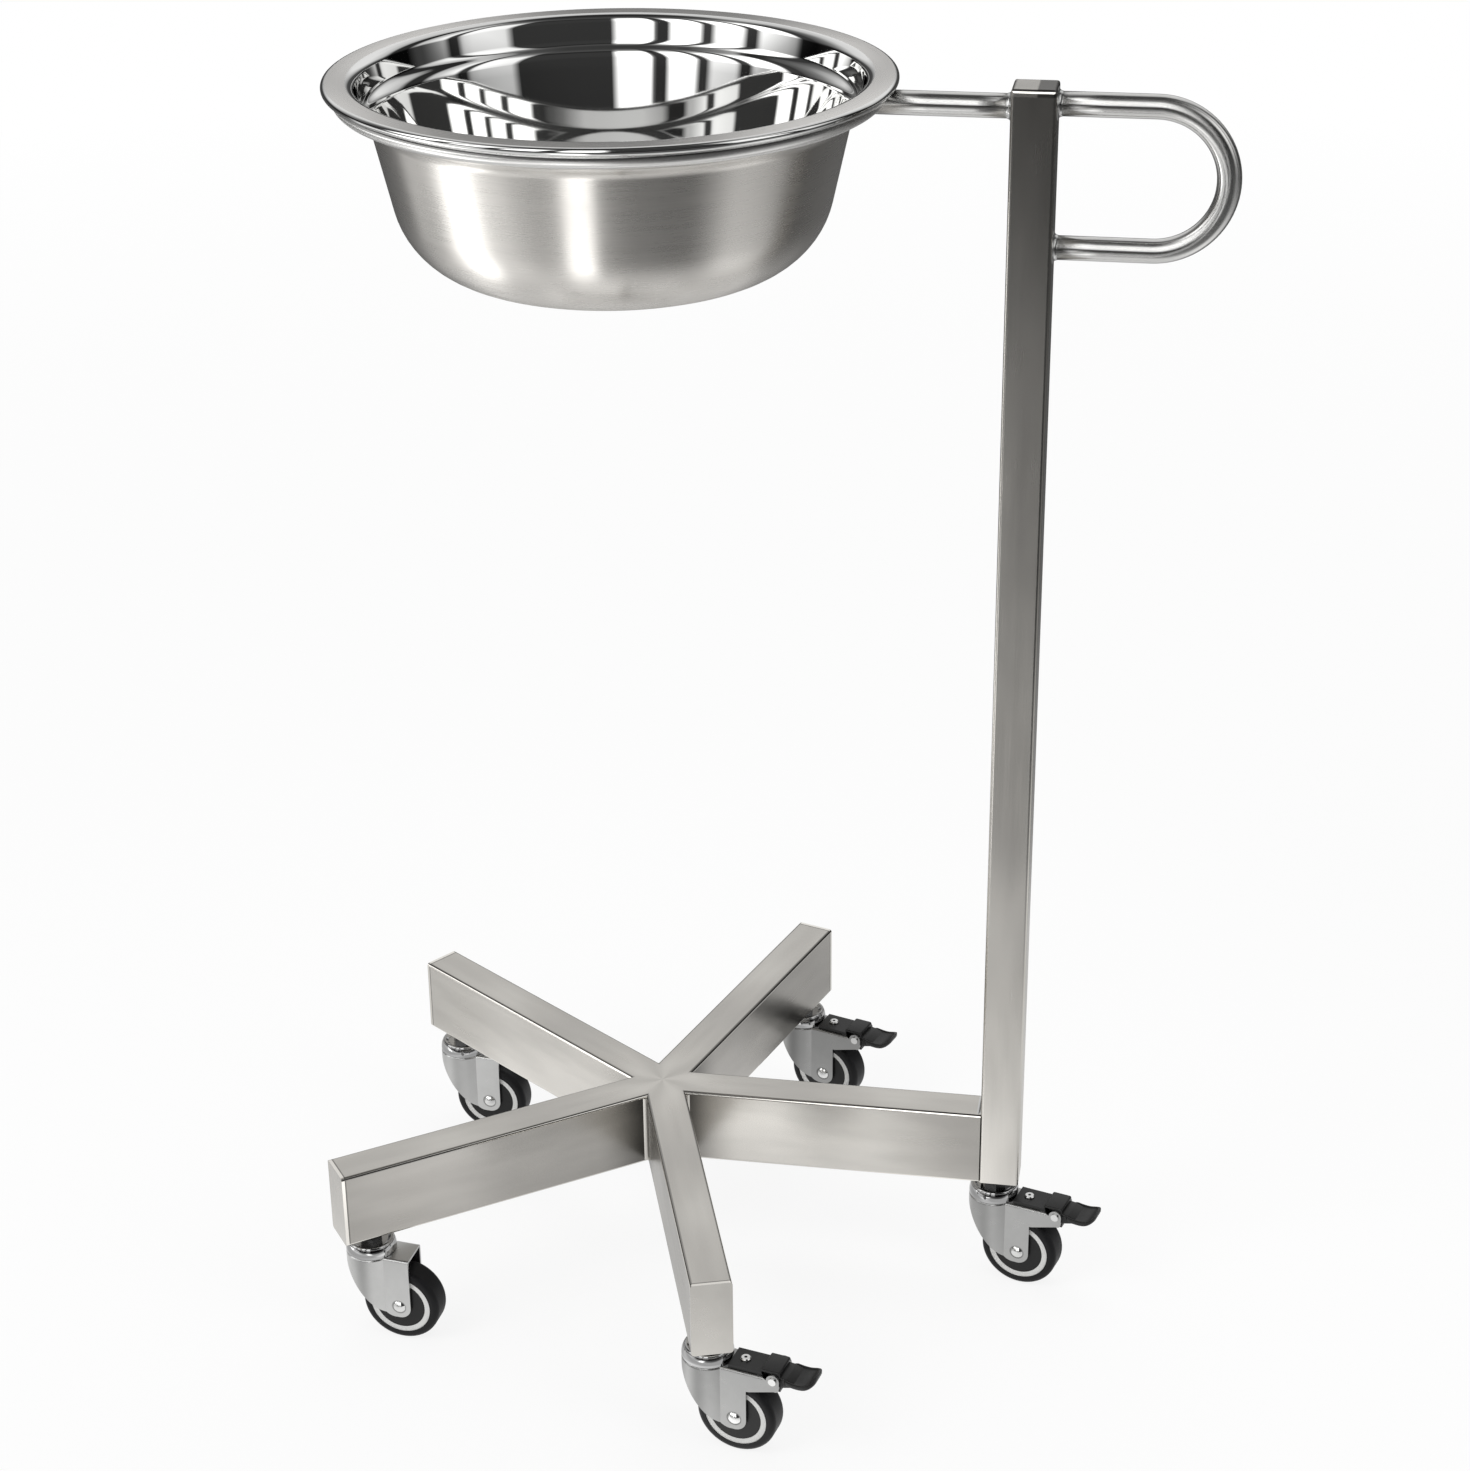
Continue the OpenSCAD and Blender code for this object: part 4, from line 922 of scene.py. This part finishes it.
def makePedal(place, material):
    p = pedalSizes
    turns = [2 * math.pi * step / p["circleSteps"] for step in range(p["circleSteps"])]
    circle = [Vector((math.cos(turn), math.sin(turn))) for turn in turns]
    parts = [
        flankedPrism([Vector(p["pin"]) + c * p["hub"] for c in circle], p["half"], p["edge"]),
        flankedPrism([Vector(p["cam"]) + c * p["camRadius"] for c in circle], p["half"] - p["camInset"], p["edge"]),
        flankedPrism(roundLoop(p["block"], p["blockBends"]), p["half"], p["edge"]),
        flankedPrism(roundLoop(p["web"], p["webBends"]), p["half"] - p["webInset"], p["edge"]),
    ]
    near, far, half = p["padFrom"], p["padTo"], p["padHalf"]
    outline = roundLoop([(near, -half), (far, -half), (far, half), (near, half)],
                        [p["padNear"], p["padCorner"], p["padCorner"], p["padNear"]], p["cornerSteps"])
    # Even steps along the straight edges let the pad follow its dish
    fine = []
    for index, here in enumerate(outline):
        after = outline[(index + 1) % len(outline)]
        pieces = max(1, round((after - here).length / p["padStep"]))
        fine += [here.lerp(after, step / pieces) for step in range(pieces)]
    rings = [[Vector((q.x, q.y, padHeight(q.x) + lift)) for q in insetLoop(fine, inset)] for inset, lift in p["layers"]]
    # Smaller rings fill the dish, and one more the underside
    middle = Vector(((near + far) / 2, 0, 0))
    low, high = p["layers"][0][1], p["layers"][-1][1]
    inmost = rings[-1]
    for share in p["dishRings"]:
        inner = [middle.lerp(q, share) for q in inmost]
        rings.append([Vector((q.x, q.y, padHeight(q.x) + high)) for q in inner])
    under = [middle.lerp(q, p["underRing"]) for q in rings[0]]
    rings.insert(0, [Vector((q.x, q.y, padHeight(q.x) + low)) for q in under])
    parts.append(stackRings(rings))
    points, faces = [], []
    turn = Matrix.Rotation(math.radians(trailAngles[place]), 3, "Z")
    foot = stemPlace(place)
    for somePoints, someFaces in parts:
        start = len(points)
        points += [foot + turn @ (point * mm) for point in somePoints]
        faces += [tuple(start + index for index in face) for face in someFaces]
    piece = addMesh("pedal_" + place, points, faces, [material], "pedal_" + place,
                    ["brake_pedal_" + place])
    skin = bmesh.new()
    skin.from_mesh(piece.data)
    bmesh.ops.recalc_face_normals(skin, faces=skin.faces)
    skin.to_mesh(piece.data)
    skin.free()
    # Flat ends stay flat and the rounded edges stay soft
    piece.data.set_sharp_from_angle(angle=math.radians(p["sharpAngle"]))


# Polished and plated metals: colour, and roughness from and to
polished = {
    "zincPlate": ((0.66, 0.66, 0.65), (0.16, 0.26)), "boltZinc": ((0.80, 0.80, 0.79), (0.12, 0.2)),
    # The swivel caps' darker chrome is a shaded copy of the caps' chrome: painted shade under the legs
    "capChrome": ((0.82, 0.82, 0.82), (0.03, 0.06)), "capChromePaintedShade": ((0.50, 0.50, 0.50), (0.06, 0.10)),
    # The stems' near-black steel is painted shade and reflection from the legs' dark undersides
    "stemSteelPaintedShade": ((0.10, 0.10, 0.10), (0.2, 0.3)), "bowlBead": ((0.82, 0.82, 0.81), (0.04, 0.08)),
}
# Rubber, moulded and coated parts: colour, roughness, gloss, and the size of the skin's specks in millimetres
moulded = {
    "tyreRubber": ((0.006, 0.006, 0.007), (0.40, 0.56), 0.25, 0.9),
    "blackMoulding": ((0.008, 0.008, 0.008), (0.30, 0.42), 0.32, 0.6),
    "blackCoat": ((0.009, 0.009, 0.009), (0.28, 0.38), 0.4, 0.4),
    "paleMoulding": ((0.80, 0.80, 0.785), (0.40, 0.52), 0.4, 1.2),
}
# The bowl's faces: stretch draws reflections across the strokes, contrast is how plainly these show
spun = {
    "bowlOutside": {"base": (0.82, 0.795, 0.755), "rough": (0.24, 0.32), "stretch": 0.88, "contrast": 0.10},
    "bowlInside": {"base": (0.84, 0.84, 0.83), "rough": (0.015, 0.035), "stretch": 0.3, "contrast": 0.0},
    "bowlFlange": {"base": (0.97, 0.95, 0.92), "rough": (0.24, 0.32), "stretch": 0.9, "contrast": 0.06,
                   "paintedSheenFan": (0.25, 0.90, 0.36)},
}
finishes = {name: makePolishedRod(name, *values) for name, values in polished.items()}
finishes |= {name: makeMoulded(name, *values) for name, values in moulded.items()}
finishes |= {name: makeSpunSteel(name, **values) for name, values in spun.items()}
for place in placeNames:
    leg, fork = "brushedLeg_" + place, "forkZinc_" + place
    finishes[leg] = makeBrushedTube(leg, legAngles[place], tones=legLook["tones"][place])
    finishes[fork] = makeForkZinc(fork, place)
finishes["endPlate"] = makeEndPlate("endPlate")
finishes["brushedPost"] = makeBrushedTube("brushedPost", upright=True)
finishes["blendedSteel"] = makeBrushedTube("blendedSteel", upright=True, stretch=0)
print("finishes ready")

makeBowl([finishes[name] for name in ("bowlOutside", "bowlInside", "bowlFlange", "bowlBead")])
print("bowl built")
makeRods()
print("arm, ring and handle built")
for place in brakedPlaces:
    makePedal(place, finishes["blackCoat"])
print("pedals built")

# The first of these that a piece's name starts with gives its finish; all others have plain zinc
finishOf = {
    "leg_end_caps": "endPlate", "post_cap": "brushedLeg_post", "post_welds": "zincPlate", "post": "brushedPost",
    "hub_welds": "blendedSteel", "swivel_caps": "capChromePaintedShade", "swivel": "capChrome", "tyre": "tyreRubber",
    "hub_covers": "blackMoulding", "brake_leaf": "blackCoat", "wheel_core": "paleMoulding",
    "axle_bolt": "boltZinc", "brake_pins": "boltZinc", "caster_stems": "stemSteelPaintedShade", "stem_sockets": "stemSteelPaintedShade",
    **{"leg_" + place: "brushedLeg_" + place for place in placeNames},
    **{"fork_" + place: "forkZinc_" + place for place in placeNames},
}
builtHere = ("bowl", "support_arm", "support_ring", "push_handle", "brake_pedal")
for name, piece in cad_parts.items():
    if name.startswith(builtHere):
        continue
    finish = finishes[next((finishOf[start] for start in finishOf if name.startswith(start)), "zincPlate")]
    for slot in piece.material_slots:
        slot.material = finish
    if not piece.material_slots:
        piece.data.materials.append(finish)
print("finishes set")
